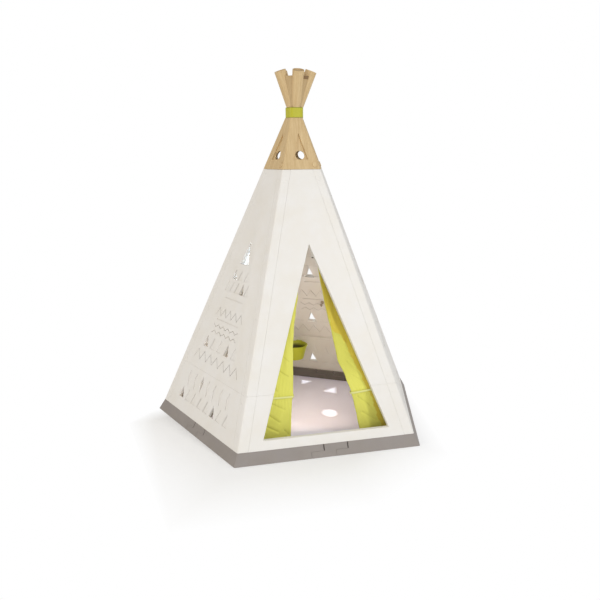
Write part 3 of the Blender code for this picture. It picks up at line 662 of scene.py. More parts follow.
def paint_pattern_shade(bm, k):
    """Paint shade on the sides of the engraved pattern and of the openings where they are shallower than a
    pocket, on its thin floors and in the joint's groove.
    """
    layer = face_layer(bm, "shade")
    inverse = wall_frame(k).inverted()
    out = outward(k)
    for face in bm.faces:
        depth = -(inverse @ face.calc_center_median()).z
        if depth < SKIN or depth > WALL - SKIN or on_rim(face, inverse):
            continue
        narrow = face.calc_area() < THIN * face.calc_perimeter()
        steep = abs(face.normal.dot(out)) < STEEP
        heights = [vert.co.z for vert in face.verts]
        depths = [-(inverse @ vert.co).z for vert in face.verts]
        in_pocket = max(depths) - min(depths) > POCKET
        long = max((vert.co - face.verts[0].co).length for vert in face.verts) > GROOVE_LENGTH
        at_joint = min(heights) > GROOVE_SPAN[0] and max(heights) < GROOVE_SPAN[1]
        if long and depth > GROOVE_FLOOR and at_joint:
            face[layer] = GROOVE_SHADE
        elif (steep and not in_pocket) or narrow:
            face[layer] = OUTSIDE_SHADE if depth < WALL / 2 else INSIDE_SHADE


def at_door(edge):
    """Whether an edge runs along the doorway in the front wall."""
    inverse = wall_frame(0).inverted()
    for vert in edge.verts:
        place = inverse @ vert.co
        sill = slant(SILL_Z, -place.z)
        on_sill = abs(place.y - sill) < NEAR_LINE and abs(place.x) < DOOR_HALF + NEAR_LINE
        on_jamb = abs(abs(place.x) - jamb_line(place.y)) < NEAR_LINE
        if not (on_sill or on_jamb):
            return False
    return True


class TENT_OT_walls(bpy.types.Operator):
    """Round and finish the wall panels and the corner strips, and paint shade into the moulded pattern"""
    bl_idname = "tent.walls"
    bl_label = "Walls"

    def execute(self, context):
        sizes = context.scene.tent_sizes
        for part in ("upper_panel_", "lower_panel_"):
            for k, wall in enumerate(WALLS):
                bm = clean_copy(part + wall)
                inverse = wall_frame(k).inverted()
                if wall == "front":
                    rounded(bm, sizes.door_edge, at_door, 3)
                    rounded(bm, sizes.edge)
                else:
                    paint_pattern_shade(bm, k)
                    rounded(bm, sizes.edge, lambda edge: on_rim(edge, inverse))
                moulded(part + wall, bm, "wall")
        for node in [part + corner for part in ("upper_strip_", "lower_strip_") for corner in CORNERS]:
            bm = clean_copy(node)
            rounded(bm, sizes.edge)
            moulded(node, bm, "wall")
        return {"FINISHED"}


SEAL = 0.0010            # width of the seals
SEAL_TOP = 0.0014        # how far under the outer faces they start
SEAL_FOOT = 0.0110       # and end
SEAL_RING = ((SEAL_TOP, -1), (SEAL_TOP, 1), (SEAL_FOOT, 1), (SEAL_FOOT, -1))
CROSSING = SEAM / 2 + GAP    # the seals up the walls stop this far from the joint's middle
SEAL_RUNS = ((BASE_HEIGHT + 0.002, JOINT_Z - CROSSING), (JOINT_Z + CROSSING, CAP_Z - 0.003))

PAST_JAMB = 0.004        # the level seals beside the door start this far behind the jambs' edges
SHORT_OF_CORNER = 0.0075     # and all of them end this far from the line where two walls meet


def behind_jamb(y):
    return jamb_line(y) + PAST_JAMB


def behind_corner(y):
    return wall_line(y) - SHORT_OF_CORNER


def wall_middle(y):
    return 0.0


def add_box(bm, places):
    """A closed box from its four corners at one end and its four at the other."""
    verts = [bm.verts.new(place) for place in places]
    for loop in ((0, 1, 2, 3), (4, 5, 6, 7), (0, 1, 5, 4), (1, 2, 6, 5), (2, 3, 7, 6), (3, 0, 4, 7)):
        bm.faces.new([verts[i] for i in loop])


class TENT_OT_seals(bpy.types.Operator):
    """Close the seams between the wall panels and the strips with a thin sunk seal"""
    bl_idname = "tent.seals"
    bl_label = "Seals"

    def execute(self, context):
        bm = bmesh.new()
        for k in range(5):
            matrix = wall_frame(k)
            for sign in (-1, 1):
                for run in SEAL_RUNS:
                    corners = []
                    for height in run:
                        for depth, side in SEAL_RING:
                            y = slant(height, depth)
                            x = strip_line(y) - SEAM / 2 + side * SEAL / 2
                            corners.append(matrix @ Vector((sign * x, y, -depth)))
                    add_box(bm, corners)
                corners = []
                for line in (behind_jamb if k == 0 else wall_middle, behind_corner):
                    for depth, rise in SEAL_RING:
                        y = slant(JOINT_Z + rise * SEAL / 2, depth)
                        corners.append(matrix @ Vector((sign * line(y), y, -depth)))
                add_box(bm, corners)
        bmesh.ops.remove_doubles(bm, verts=bm.verts[:], dist=MERGE / 2)
        bmesh.ops.recalc_face_normals(bm, faces=bm.faces[:])
        finished("panel_seals", bm, "wall")
        return {"FINISHED"}


# Base and cap
FACING_IN = -0.7         # how squarely a face of the base looks towards the axis, to be painted in shade
GRAIN_STEP = 3.1         # how far apart the grain of two faces of the cap lies


class TENT_OT_base(bpy.types.Operator):
    """Round and finish the base corners and the clips between them, with painted shade on the faces that look
    in towards the axis
    """
    bl_idname = "tent.base"
    bl_label = "Base"

    def execute(self, context):
        for name in sorted(NODES):
            if name.startswith("base_"):
                bm = clean_copy(name)
                layer = face_layer(bm, "shade")
                for face in bm.faces:
                    out = level_out(face, AXIS_FOOT).normalized()
                    face[layer] = 1.0 if face.normal.dot(out) < FACING_IN else 0.0
                rounded(bm, context.scene.tent_sizes.base_edge)
                moulded(name, bm, "base")
        return {"FINISHED"}


def grain_by_wall(bm):
    """Wood grain that runs up each face of the cap, as a vector on its corners."""
    layer = bm.loops.layers.float_vector.new("grain")
    frames = [wall_frame(k).inverted() for k in range(5)]
    for face in bm.faces:
        out = level_out(face, AXIS_FOOT)
        k = round(Vector((out.x, out.y)).angle_signed(Vector((0, -1)), 0) / TURN) % 5
        for loop in face.loops:
            place = frames[k] @ loop.vert.co
            loop[layer] = (place.x + GRAIN_STEP * k, place.z, place.y)


class TENT_OT_cap(bpy.types.Operator):
    """Round the cap and its buttons and run the wood grain up its faces"""
    bl_idname = "tent.cap"
    bl_label = "Cap"

    def execute(self, context):
        for name in ["cap"] + ["cap_button_" + wall for wall in WALLS]:
            bm = clean_copy(name)
            rounded(bm, context.scene.tent_sizes.edge)
            grain_by_wall(bm)
            moulded(name, bm, "wood")
        return {"FINISHED"}


# The crown's poles, each from the middle of the neck out over the middle of a wall
POLE = {"Foot radius": 0.0235, "End radius": 0.030, "Foot offset": 0.010, "End offset": 0.086,
        "Foot height": 1.640, "End height": TOTAL_HEIGHT - 0.0108, "Hollow": 0.005, "Rim": 0.0045}
# The web between them, and the core that stands in the neck
WEB = {"Web height": 1.818, "Web foot": 0.0405, "Web top": 0.082, "Crown foot": BAND_TOP_Z + GAP,
       "Core": 0.040}
ROUND = {"pole": 28, "web": 40, "core": 30, "cutter": 24}    # the sides of what is round
CORE_OVERLAP = 0.006     # how far the core reaches up into the crown
FOOT_CUTTER = 0.2        # radius and height of what cuts the crown's foot level
POLE_GRAIN_STEP = 1.7    # how far apart the grain of two poles lies
# Painted shade on the crown's web, on the floors of its hollow ends, and deeper on the web's upper edge at
# the front right
WEB_PROUD = 0.0006       # faces that stand out of every pole by more than this are the web's
WEB_SHADE = 0.55
HOLLOW_PROUD = -0.0020   # level faces deeper in a pole than this are the floor of its hollow end
HOLLOW_SHADE = 0.5
SLOT_SHADE = 1.9         # painted shade of the web's upper edge at the front right, beyond SLOT_X and over SLOT_Z
SLOT_Z = WEB["Web height"] - 0.016
SLOT_X = 0.030


def nearest_pole(point):
    """The pole of the crown nearest to a point: its number, the place along and across it, and how far
    the point stands out of the pole's side."""
    best = None
    for k in range(5):
        out = Vector((cos(k * TURN - pi / 2), sin(k * TURN - pi / 2), 0))
        foot = Vector((0, AXIS_Y, POLE["Foot height"])) + out * POLE["Foot offset"]
        end = Vector((0, AXIS_Y, POLE["End height"])) + out * POLE["End offset"]
        along = (end - foot).normalized()
        offset = point - foot
        height = offset.dot(along)
        side = Vector((-out.y, out.x, 0))
        place = Vector((offset.dot(side), (offset - along * height).dot(along.cross(side)), height))
        grown_by = (POLE["End radius"] - POLE["Foot radius"]) * height / (end - foot).length
        proud = hypot(place.x, place.y) - POLE["Foot radius"] - grown_by
        if best is None or proud < best[2]:
            best = (k, place, proud)
    return best


def crown_tree():
    """Poles that lean out round an axis, hollowed at their ends and joined by a web."""
    tree, given, made = geometry_tree("Crown of poles", {**POLE, **WEB}, [("Poles", INT, 5)])
    run = given["End offset"] - given["Foot offset"]
    rise = given["End height"] - given["Foot height"]
    length = mathed("SQRT", run * run + rise * rise)
    pole = cone(tree, ROUND["pole"], given["Foot radius"], given["End radius"], length)
    bore = given["End radius"] - given["Rim"]
    hollow = cone(tree, ROUND["pole"], bore, bore, given["Hollow"] * 2.0)
    pole = combined("DIFFERENCE", pole, moved(hollow, height=length - given["Hollow"]))
    pole = moved(pole, given["Foot offset"] * -1.0, given["Foot height"], mathed("ARCTAN2", run, rise))
    points = wire(tree, "GeometryNodePoints", {"Count": given["Poles"]})
    number = wire(tree, "GeometryNodeInputIndex")
    poles = realized(on_points(points, pole, vector_of(tree, z=number * (2 * pi / given["Poles"]))))
    web_height = given["Web height"] - given["Crown foot"]
    web = cone(tree, ROUND["web"], given["Web foot"], given["Web top"], web_height)
    crown = combined("UNION", poles, moved(web, height=given["Crown foot"]))
    below = cylinder(tree, ROUND["cutter"], FOOT_CUTTER, FOOT_CUTTER)
    crown = combined("DIFFERENCE", crown, moved(below, height=given["Crown foot"] - FOOT_CUTTER / 2))
    core_height = given["Crown foot"] - given["Foot height"] + CORE_OVERLAP
    core = cone(tree, ROUND["core"], given["Core"], given["Core"], core_height)
    return end_tree(combined("UNION", crown, moved(core, height=given["Foot height"])), given, made)


class TENT_OT_crown(bpy.types.Operator):
    """Grow the crown of five poles with hollow ends, with the wood grain along each pole and painted shade on
    its web and hollow ends
    """
    bl_idname = "tent.crown"
    bl_label = "Crown"

    def execute(self, context):
        base = points_object("crown_start", [(Vector((0, 0, 0)), Vector((0, 0, 1)))])
        mesh = grown(base, crown_tree(), {**POLE, "Finish": MATERIALS["wood"]})
        mesh.transform(AXIS)
        bm = bmesh.new()
        bm.from_mesh(mesh)
        bmesh.ops.remove_doubles(bm, verts=bm.verts[:], dist=MERGE)
        bmesh.ops.dissolve_degenerate(bm, edges=bm.edges[:], dist=MERGE)
        bmesh.ops.recalc_face_normals(bm, faces=bm.faces[:])
        grain = bm.loops.layers.float_vector.new("grain")
        layer = face_layer(bm, "shade")
        cut_level(bm, SLOT_Z)
        for face in bm.faces:
            centre = face.calc_center_median()
            k, place, proud = nearest_pole(centre)
            if proud > WEB_PROUD:
                in_slot = centre.z > SLOT_Z and centre.x > SLOT_X and centre.y < AXIS_Y
                face[layer] = SLOT_SHADE if in_slot else WEB_SHADE
            elif proud < HOLLOW_PROUD and face.normal.z > STEEP:
                face[layer] = HOLLOW_SHADE
            for loop in face.loops:
                place = nearest_pole(loop.vert.co)[1]
                loop[grain] = (place.x + POLE_GRAIN_STEP * k, place.y, place.z)
        moulded("crown", bm, "wood", angle=35)
        return {"FINISHED"}


BAND_RIM = 0.0035        # height of the band's rims, painted in shade
BAND_RIMS = (NECK_Z + BAND_RIM, BAND_TOP_Z - BAND_RIM)


class TENT_OT_band(bpy.types.Operator):
    """Finish the band round the neck, with painted shade along its rims"""
    bl_idname = "tent.band"
    bl_label = "Neck band"

    def execute(self, context):
        bm = clean_copy("neck_band")
        layer = face_layer(bm, "shade")
        for height in BAND_RIMS:
            cut_level(bm, height)
        for face in bm.faces:
            between_rims = BAND_RIMS[0] <= face.calc_center_median().z <= BAND_RIMS[1]
            face[layer] = 0.0 if between_rims else 1.0
        rounded(bm, context.scene.tent_sizes.edge)
        moulded("neck_band", bm, "band")
        return {"FINISHED"}


# Curtains. Each is doubled cloth: a back layer comes in from the jamb, turns at the inner edge and goes
# back as the front layer. The edges are (height, distance out from the middle of the door).
LAYER = 0.005            # half the distance between the two layers
CURTAIN_TOP_Z = 0.905
CURTAIN_LOW_Z = 0.040
TOP_DEPTH = 0.066        # how far behind the door's outer face the cloth hangs at its top
LOW_DEPTH = 0.0474       # and low down, where it has come forward
FORWARD_Z = (0.45, 0.75)
RIPPLE = 0.003           # height of the broad folds, and how many go across
RIPPLES = 1.4
FINE_RIPPLE = 0.0007
FINE_RIPPLES = 3.1
GATHER = 0.0007          # and of the gathers at the tie
GATHERS = 7
TIE_Z = 0.272
TIE_REACH = 0.13         # from this far away the tie no longer holds the cloth
EDGES = {
    ("left", "inner"): ((0.905, 0.037), (0.725, 0.070), (0.657, 0.088), (0.576, 0.108), (0.476, 0.125),
                        (0.376, 0.133), (0.277, 0.143), (0.245, 0.150), (0.147, 0.154), (0.040, 0.158)),
    ("left", "outer"): ((0.905, 0.082), (0.760, 0.115), (0.503, 0.200), (0.330, 0.262), (0.272, 0.258),
                        (0.040, 0.345)),
    ("right", "inner"): ((0.905, 0.048), (0.809, 0.055), (0.703, 0.066), (0.626, 0.075), (0.557, 0.086),
                         (0.419, 0.101), (0.335, 0.1345), (0.255, 0.158), (0.210, 0.171), (0.122, 0.191),
                         (0.040, 0.207)),
    ("right", "outer"): ((0.905, 0.085), (0.680, 0.150), (0.511, 0.207), (0.330, 0.268), (0.272, 0.266),
                         (0.150, 0.322), (0.040, 0.358)),
}
# The sharpest creases: (distance out, height) at both ends, and how deep each is pressed in
CREASES = {
    "left": (((0.222, 0.402), (0.160, 0.362), 0.0028), ((0.238, 0.345), (0.226, 0.300), 0.0034),
             ((0.288, 0.197), (0.214, 0.141), 0.0036), ((0.304, 0.138), (0.222, 0.093), 0.0036),
             ((0.190, 0.096), (0.170, 0.074), 0.0022), ((0.196, 0.470), (0.150, 0.430), 0.0016),
             ((0.250, 0.240), (0.190, 0.205), 0.0020)),
    "right": (((0.104, 0.545), (0.150, 0.500), -0.0030), ((0.128, 0.470), (0.176, 0.430), 0.0022),
              ((0.150, 0.410), (0.205, 0.352), 0.0026), ((0.170, 0.345), (0.236, 0.300), 0.0024),
              ((0.190, 0.235), (0.262, 0.180), 0.0030), ((0.215, 0.150), (0.300, 0.098), 0.0030)),
}
CREASE_WIDTH = 0.0055
CREASE_LINE = 0.0030     # width of a crease's bottom, painted dark in shade
CREASE_SHADE = {"left": 0.85, "right": 0.30}
FULL_PRESS = 0.0034      # a crease pressed in this deep is painted in full shade
UPPER_SHADE = {"left": 0.0, "right": 0.30}   # painted shade of the cloth above the tie
UPPER_Z = (0.30, 0.42)
# Where the cloth beside the right jamb is painted in the jamb's shadow: (height, distance out from the
# middle)
JAMB_SHADOW_EDGE = ((0.830, 0.045), (0.707, 0.058), (0.652, 0.071), (0.581, 0.085), (0.552, 0.090), (0.532, 0.132),
             (0.477, 0.155), (0.429, 0.172), (0.366, 0.200), (0.334, 0.217), (0.272, 0.233), (0.248, 0.255),
             (0.181, 0.277), (0.127, 0.293), (0.040, 0.330))
JAMB_SHADOW_SOFTNESS = 0.004
JAMB_SHADOW_WAVES = ((0.0022, 95, 0), (0.0014, 230, 1))    # the waves of its edge: height, rate and start
FRONT_DEPTH = -0.8 * LAYER   # columns of the doubled section this far forward show at the front
FRONT_COLUMNS = 56
TURN_COLUMNS = 10
BACK_COLUMNS = 20
CURTAIN_ROWS = 240


def between(table, height):
    """A smooth value from a short list of (height, value), highest first."""
    if height >= table[0][0]:
        return table[0][1]
    for (upper, first), (lower, second) in zip(table, table[1:]):
        if height >= lower:
            share = (upper - height) / (upper - lower)
            return first + (second - first) * (smooth_step(share) + share) / 2
    return table[-1][1]


def curtain_depth(height):
    """How far behind the door's outer face the doubled cloth hangs."""
    lower, upper = FORWARD_Z
    return LOW_DEPTH + (TOP_DEPTH - LOW_DEPTH) * smooth_step((height - lower) / (upper - lower))


def from_crease(start, end, x, height):
    """How far a place is from a crease, and how far along the crease."""
    run = Vector((end[0] - start[0], end[1] - start[1]))
    offset = Vector((x - start[0], height - start[1]))
    share = clamped(offset.dot(run) / run.length_squared)
    return (offset - run * share).length, share


def creased(side, x, height):
    """How far the creases press the cloth in at a place."""
    total = 0.0
    for start, end, pressed in CREASES[side]:
        away, _ = from_crease(start, end, x, height)
        total += pressed * exp(-(away / CREASE_WIDTH) ** 2)
    return total


def cloth_point(side, share, sideways, deeper, height):
    """A point of a curtain's middle surface, from its place in the doubled section and its height."""
    sign = -1 if side == "left" else 1
    inner = between(EDGES[side, "inner"], height) + LAYER
    outer = between(EDGES[side, "outer"], height)
    x = inner + (outer - inner) * share + sideways
    freely = min(1, abs(height - TIE_Z) / TIE_REACH)
    ripple = RIPPLE * freely * sin(2 * pi * RIPPLES * share + 5 * height + 0.6)
    fine = FINE_RIPPLE * freely * sin(2 * pi * (FINE_RIPPLES * share + 1.2 * sin(6 * height)) + 17 * height)
    gathers = GATHER * (1 - freely) * sin(2 * pi * GATHERS * share + 1.5 * sin(40 * height))
    pressed = creased(side, x, height) * (1 if deeper < 0 else 0.5)
    held = max(height, TIE_Z)
    y = (held - BASE_HEIGHT) * tan(LEAN) - WALL_APOTHEM + curtain_depth(height) + deeper
    return Vector((sign * x, AXIS_Y + y + ripple + fine + gathers + pressed, height))


def doubled_section():
    """The section's columns: share out from the inner edge, offset along X and offset in depth."""
    back = [(1 - i / BACK_COLUMNS, 0, LAYER) for i in range(BACK_COLUMNS)]
    turn = [(0, -LAYER * sin(pi * i / TURN_COLUMNS), LAYER * cos(pi * i / TURN_COLUMNS))
            for i in range(TURN_COLUMNS + 1)]
    front = [((i + 1) / FRONT_COLUMNS, 0, -LAYER) for i in range(FRONT_COLUMNS)]
    return back + turn + front


def painted_jamb_shadow(side, point):
    """How deep in the jamb's painted shadow a point of the front layer lies."""
    if side == "left":
        return 0.0
    edge = between(JAMB_SHADOW_EDGE, point.z)
    for wave, rate, start in JAMB_SHADOW_WAVES:
        edge += wave * sin(rate * point.z + start)
    return smooth_step((point.x - edge) / JAMB_SHADOW_SOFTNESS)


def crease_shade(side, point):
    """How dark the painted shade at the bottom of a crease is at a point of the front layer."""
    darkest = 0.0
    for start, end, pressed in CREASES[side]:
        away, share = from_crease(start, end, abs(point.x), point.z)
        depth = CREASE_SHADE[side] * min(1, abs(pressed) / FULL_PRESS) * (1 - 0.5 * share)
        darkest = max(darkest, depth * exp(-(away / CREASE_LINE) ** 2))
    return darkest


def cloth_grid(side):
    """The curtain's surface as a grid with its UV map in metres, its cut and its area."""
    section = doubled_section()
    span = CURTAIN_TOP_Z - CURTAIN_LOW_Z
    heights = [CURTAIN_LOW_Z + span * j / CURTAIN_ROWS for j in range(CURTAIN_ROWS + 1)]
    points = [[cloth_point(side, *column, height) for column in section] for height in heights]
    bm = bmesh.new()
    uv = bm.loops.layers.uv.new("cloth")
    # Painted shade in two attributes: the jamb's shadow on the front layer, and a darker shade at the
    # creases' bottoms and over the cloth above the tie
    for name in ("shade", "crease"):
        bm.verts.layers.float.new(name)
    jamb_shadow, crease = (bm.verts.layers.float[name] for name in ("shade", "crease"))
    verts = [[bm.verts.new(point) for point in line] for line in points]
    for line in verts:
        for (_, _, deeper), vert in zip(section, line):
            at_front = deeper <= FRONT_DEPTH
            vert[jamb_shadow] = painted_jamb_shadow(side, vert.co) if at_front else 0.0
            upper = smooth_step((vert.co.z - UPPER_Z[0]) / (UPPER_Z[1] - UPPER_Z[0]))
            in_shade = UPPER_SHADE[side] * upper * (1 - vert[jamb_shadow])
            vert[crease] = max(crease_shade(side, vert.co) if at_front else 0.0, in_shade)
    places = {}
    up = 0.0
    for j, line in enumerate(points):
        run = 0.0
        for i, point in enumerate(line):
            if i:
                run += (point - line[i - 1]).length
            places[verts[j][i]] = (run, up)
        if j < CURTAIN_ROWS:
            up += (points[j + 1][0] - line[0]).length
    for j in range(CURTAIN_ROWS):
        for i in range(len(section) - 1):
            face = bm.faces.new((verts[j][i], verts[j][i + 1], verts[j + 1][i + 1], verts[j + 1][i]))
            for loop in face.loops:
                loop[uv].uv = places[loop.vert]
    bmesh.ops.recalc_face_normals(bm, faces=bm.faces[:])
    area = sum(face.calc_area() for face in bm.faces)
    widest = max(place[0] for place in places.values())
    return bm, widest, up, area


def thickened(obj, thickness):
    cloth = obj.modifiers.new("Cloth thickness", "SOLIDIFY")
    cloth.thickness = thickness
    cloth.offset = 0
    obj.data.shade_smooth()


STITCH_SHARE = 0.72      # length of a stitch over the distance between two
STITCH_THREAD = 0.0007


def stitch_tree():
    """A short rounded stitch on every point, lying along its seam."""
    tree, given, made = geometry_tree("Stitches", {"Length": 0.0035, "Thread": STITCH_THREAD})
    ball = wire(tree, "GeometryNodeMeshUVSphere", {"Segments": 6, "Rings": 4, "Radius": 0.5})
    size = vector_of(tree, given["Length"], given["Thread"], given["Thread"])
    stitch = wire(tree, "GeometryNodeTransform", {"Geometry": ball, "Scale": size})
    laid = aligned(tree, "along", axis="X")
    turned = aligned(tree, "out", {"Rotation": laid}, axis="Z", pivot_axis="X")
    return end_tree(on_points(given["Geometry"], stitch, turned), given, made)


def stitch_points(side, sizes):
    """Places along the hems of the front layer: each with the way out of the cloth and the way of the hem."""
    found = []
    step = sizes.stitch

    def add_line(places):
        for here, there in zip(places, places[1:]):
            along = there - here
            out = (Vector((0, -1, 0)) - along * (-along.y / along.length_squared)).normalized()
            found.append(((here + there) / 2 + out * sizes.cloth / 2, out, along.normalized()))

    count = int((CURTAIN_TOP_Z - CURTAIN_LOW_Z) / step)
    for from_inner in (True, False):
        places = []
        for i in range(count + 1):
            height = CURTAIN_LOW_Z + step * i
            width = between(EDGES[side, "outer"], height) - between(EDGES[side, "inner"], height) - LAYER
            share = sizes.hem / width if from_inner else 1 - sizes.hem / width
            places.append(cloth_point(side, share, 0, -LAYER, height))
        add_line(places)
    height = CURTAIN_LOW_Z + sizes.hem
    width = between(EDGES[side, "outer"], height) - between(EDGES[side, "inner"], height)
    count = int(width / step)
    add_line([cloth_point(side, i / count, 0, -LAYER, height) for i in range(count + 1)])
    return found


class TENT_OT_curtains(bpy.types.Operator):
    """Hang the two doubled curtains, tied back to the jambs, with stitched hems"""
    bl_idname = "tent.curtains"
    bl_label = "Curtains"

    def execute(self, context):
        sizes = context.scene.tent_sizes
        stitches = stitch_tree()
        for side in ("left", "right"):
            bm, width, length, area = cloth_grid(side)
            made = finished("cloth_curtain_" + side, bm, "cloth", replaces=["curtain_" + side])
            thickened(made, sizes.cloth)
            mesh = grown(points_object("stitches", stitch_points(side, sizes)), stitches,
                         {"Length": sizes.stitch * STITCH_SHARE, "Thread": STITCH_THREAD,
                          "Finish": MATERIALS["thread"]})
            seams = placed("hem_stitches_" + side, mesh, "thread")
        return {"FINISHED"}


# Ties
RIBBON = 0.0102          # width of a tie's ribbon
RIBBON_THICKNESS = 0.0012
RIBBON_INSET = 0.0015    # how far inside the solid's box the ribbon's middle runs
RIBBON_WAVE = 0.0007
SAG = {"left": 0.003, "right": 0.014}
TIE_SLACK = 0.0040       # how much closer to the cloth's edge the ribbon goes than the solid's loop
AROUND = 96              # faces round a ribbon's loop
ACROSS = 4               # and across it
KNOT_SHARE = {"left": 0.58, "right": 0.92}   # how far round its loop each knot sits
KNOT_HALF = (0.0058, 0.0026, 0.0066)
KNOT_PROUD = 0.0022


def ribbon_point(side, share):
    """A point of the middle of a tie: once round the gathered cloth, lower at its inner end."""
    low_corner, high_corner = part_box("curtain_tie_" + side)
    if side == "left":
        high_corner.x -= TIE_SLACK
    else:
        low_corner.x += TIE_SLACK
    middle = (low_corner + high_corner) / 2
    half_x = (high_corner.x - low_corner.x) / 2 - RIBBON_INSET
    half_y = (high_corner.y - low_corner.y) / 2 - RIBBON_INSET
    angle = 2 * pi * share
    x = half_y * cos(angle) + (half_x - half_y) * clamped(3 * cos(angle), -1, 1)
    outer = -x if side == "left" else x
    sag = SAG[side] * (outer / half_x - 1) / 2
    return middle + Vector((x, half_y * sin(angle), sag + RIBBON_WAVE * sin(5 * angle)))


class TENT_OT_ties(bpy.types.Operator):
    """Tie the curtains back with ribbons that end in a small knot"""
    bl_idname = "tent.ties"
    bl_label = "Ties"

    def execute(self, context):
        for side in ("left", "right"):
            loop = [ribbon_point(side, i / AROUND) for i in range(AROUND)]
            bm = bmesh.new()
            uv = bm.loops.layers.uv.new("cloth")
            rings = []
            runs = [0.0]
            for here, there in zip(loop, loop[1:] + loop[:1]):
                runs.append(runs[-1] + (there - here).length)
                rings.append([bm.verts.new(here + Vector((0, 0, RIBBON * (j / ACROSS - 0.5))))
                              for j in range(ACROSS + 1)])
            for i in range(AROUND):
                following = rings[(i + 1) % AROUND]
                for j in range(ACROSS):
                    face = bm.faces.new((rings[i][j], following[j], following[j + 1], rings[i][j + 1]))
                    for corner, (end, row) in zip(face.loops, ((0, j), (1, j), (1, j + 1), (0, j + 1))):
                        corner[uv].uv = (RIBBON * row / ACROSS, runs[i + end])
            bmesh.ops.recalc_face_normals(bm, faces=bm.faces[:])
            made = finished("ribbon_tie_" + side, bm, "tie", replaces=["curtain_tie_" + side])
            thickened(made, RIBBON_THICKNESS)
            knot = self.knot(side)
        return {"FINISHED"}

    def knot(self, side):
        """The ribbon's knot: a small ball of cloth over the two ends."""
        at = ribbon_point(side, KNOT_SHARE[side]) + Vector((0, -KNOT_PROUD, 0))
        bm = bmesh.new()
        bmesh.ops.create_icosphere(bm, subdivisions=3, radius=1)
        for vert in bm.verts:
            swell = 1 + 0.10 * sin(6 * vert.co.x + 4 * vert.co.z) + 0.06 * sin(9 * vert.co.z)
            vert.co = vert.co * Vector(KNOT_HALF) * swell + at
        uv = bm.loops.layers.uv.new("cloth")
        for face in bm.faces:
            for loop in face.loops:
                loop[uv].uv = (loop.vert.co.x, loop.vert.co.z)
        made = finished("ribbon_knot_" + side, bm, "tie")
        made.data.shade_smooth()
        return made


# Hooks and pot
FITTINGS = {"curtain_hook_left": "fixing", "curtain_hook_right": "fixing", "tie_hook_left": "fixing",
            "tie_hook_right": "fixing", "wall_hook": "knob", "pot_bracket": "wall"}
POT_FOOT = Vector((0.09265, 0.36703, 0.1745))
POT_RIM_Z = POT_FOOT.z + 0.0885
POT_DARK = (0.010, 0.030)    # how far below its rim the pot's inside starts to be painted in shade, and is fully painted in shade
POT_UPRIGHT = 0.03       # edges of its inside that rise more than this are cut up for the painted shade
POT_CUTS = 9


def facing_axis(face, axis):
    """Whether a face looks towards an upright axis."""
    return face.normal.dot(level_out(face, axis)) < -0.001


class TENT_OT_hooks(bpy.types.Operator):
    """Finish the curtain hooks, the tie hooks, the wall hook, the pot and its bracket, with painted shade
    inside the pot
    """
    bl_idname = "tent.hooks"
    bl_label = "Hooks and pot"

    def execute(self, context):
        for name, finish in FITTINGS.items():
            NODES[name].data.materials.clear()
            NODES[name].data.materials.append(MATERIALS[finish])
        bm = clean_copy("pot")
        layer = bm.verts.layers.float.new("shade")
        upright = {edge for face in bm.faces if facing_axis(face, POT_FOOT) for edge in face.edges
                   if abs(edge.verts[0].co.z - edge.verts[1].co.z) > POT_UPRIGHT}
        bmesh.ops.subdivide_edges(bm, edges=list(upright), cuts=POT_CUTS, use_grid_fill=True)
        starts, full = POT_DARK
        for vert in {vert for face in bm.faces if facing_axis(face, POT_FOOT) for vert in face.verts}:
            vert[layer] = smooth_step((POT_RIM_Z - vert.co.z - starts) / (full - starts))
        moulded("pot", bm, "pot", body="pot", angle=40)
        return {"FINISHED"}


# Screws
SCREW_HEIGHTS = (0.130, 0.262, 0.336, 0.640, 0.960, 1.300)
SCREW_IN = 0.016         # from the edge of a strip to its screws
SCREW_PROUD = 0.0003
HEAD_HEIGHT = 0.42       # measures of a head and its cross over the head's radius
CROSS_LENGTH = 1.15
CROSS_WIDTH = 0.26
CROSS_LIFT = 0.6         # over the head's height


def screw_tree():
    """A round screw head with a cross recess on every point, square to the point's normal."""
    tree, given, made = geometry_tree("Screw heads", {"Head radius": 0.0045})
    radius = given["Head radius"]
    rise, length, width = radius * HEAD_HEIGHT, radius * CROSS_LENGTH, radius * CROSS_WIDTH
    slots = add(tree, "GeometryNodeJoinGeometry")
    for x, y in ((length, width), (width, length)):
        connect(slots, {0: wire(tree, "GeometryNodeMeshCube", {"Size": vector_of(tree, x, y, rise)})})
    cross = moved(Wire(tree, slots.outputs[0]), height=rise * CROSS_LIFT)
    head = combined("DIFFERENCE", cylinder(tree, 20, radius, rise), cross)
    return end_tree(on_points(given["Geometry"], head, aligned(tree, "out", axis="Z")), given, made)


class TENT_OT_screws(bpy.types.Operator):
    """Put screw heads down both sides of every corner strip"""
    bl_idname = "tent.screws"
    bl_label = "Screws"

    def execute(self, context):
        points = []
        for k in range(5):
            for height in SCREW_HEIGHTS:
                y = slant(height)
                for sign in (-1, 1):
                    place = Vector((sign * (strip_line(y) + SCREW_IN), y, SCREW_PROUD))
                    points.append((wall_frame(k) @ place, outward(k)))
        mesh = grown(points_object("strip_screws", points), screw_tree(),
                     {"Head radius": context.scene.tent_sizes.screw, "Finish": MATERIALS["wall"]})
        shaded(placed("strip_screws", mesh, "wall"))
        return {"FINISHED"}


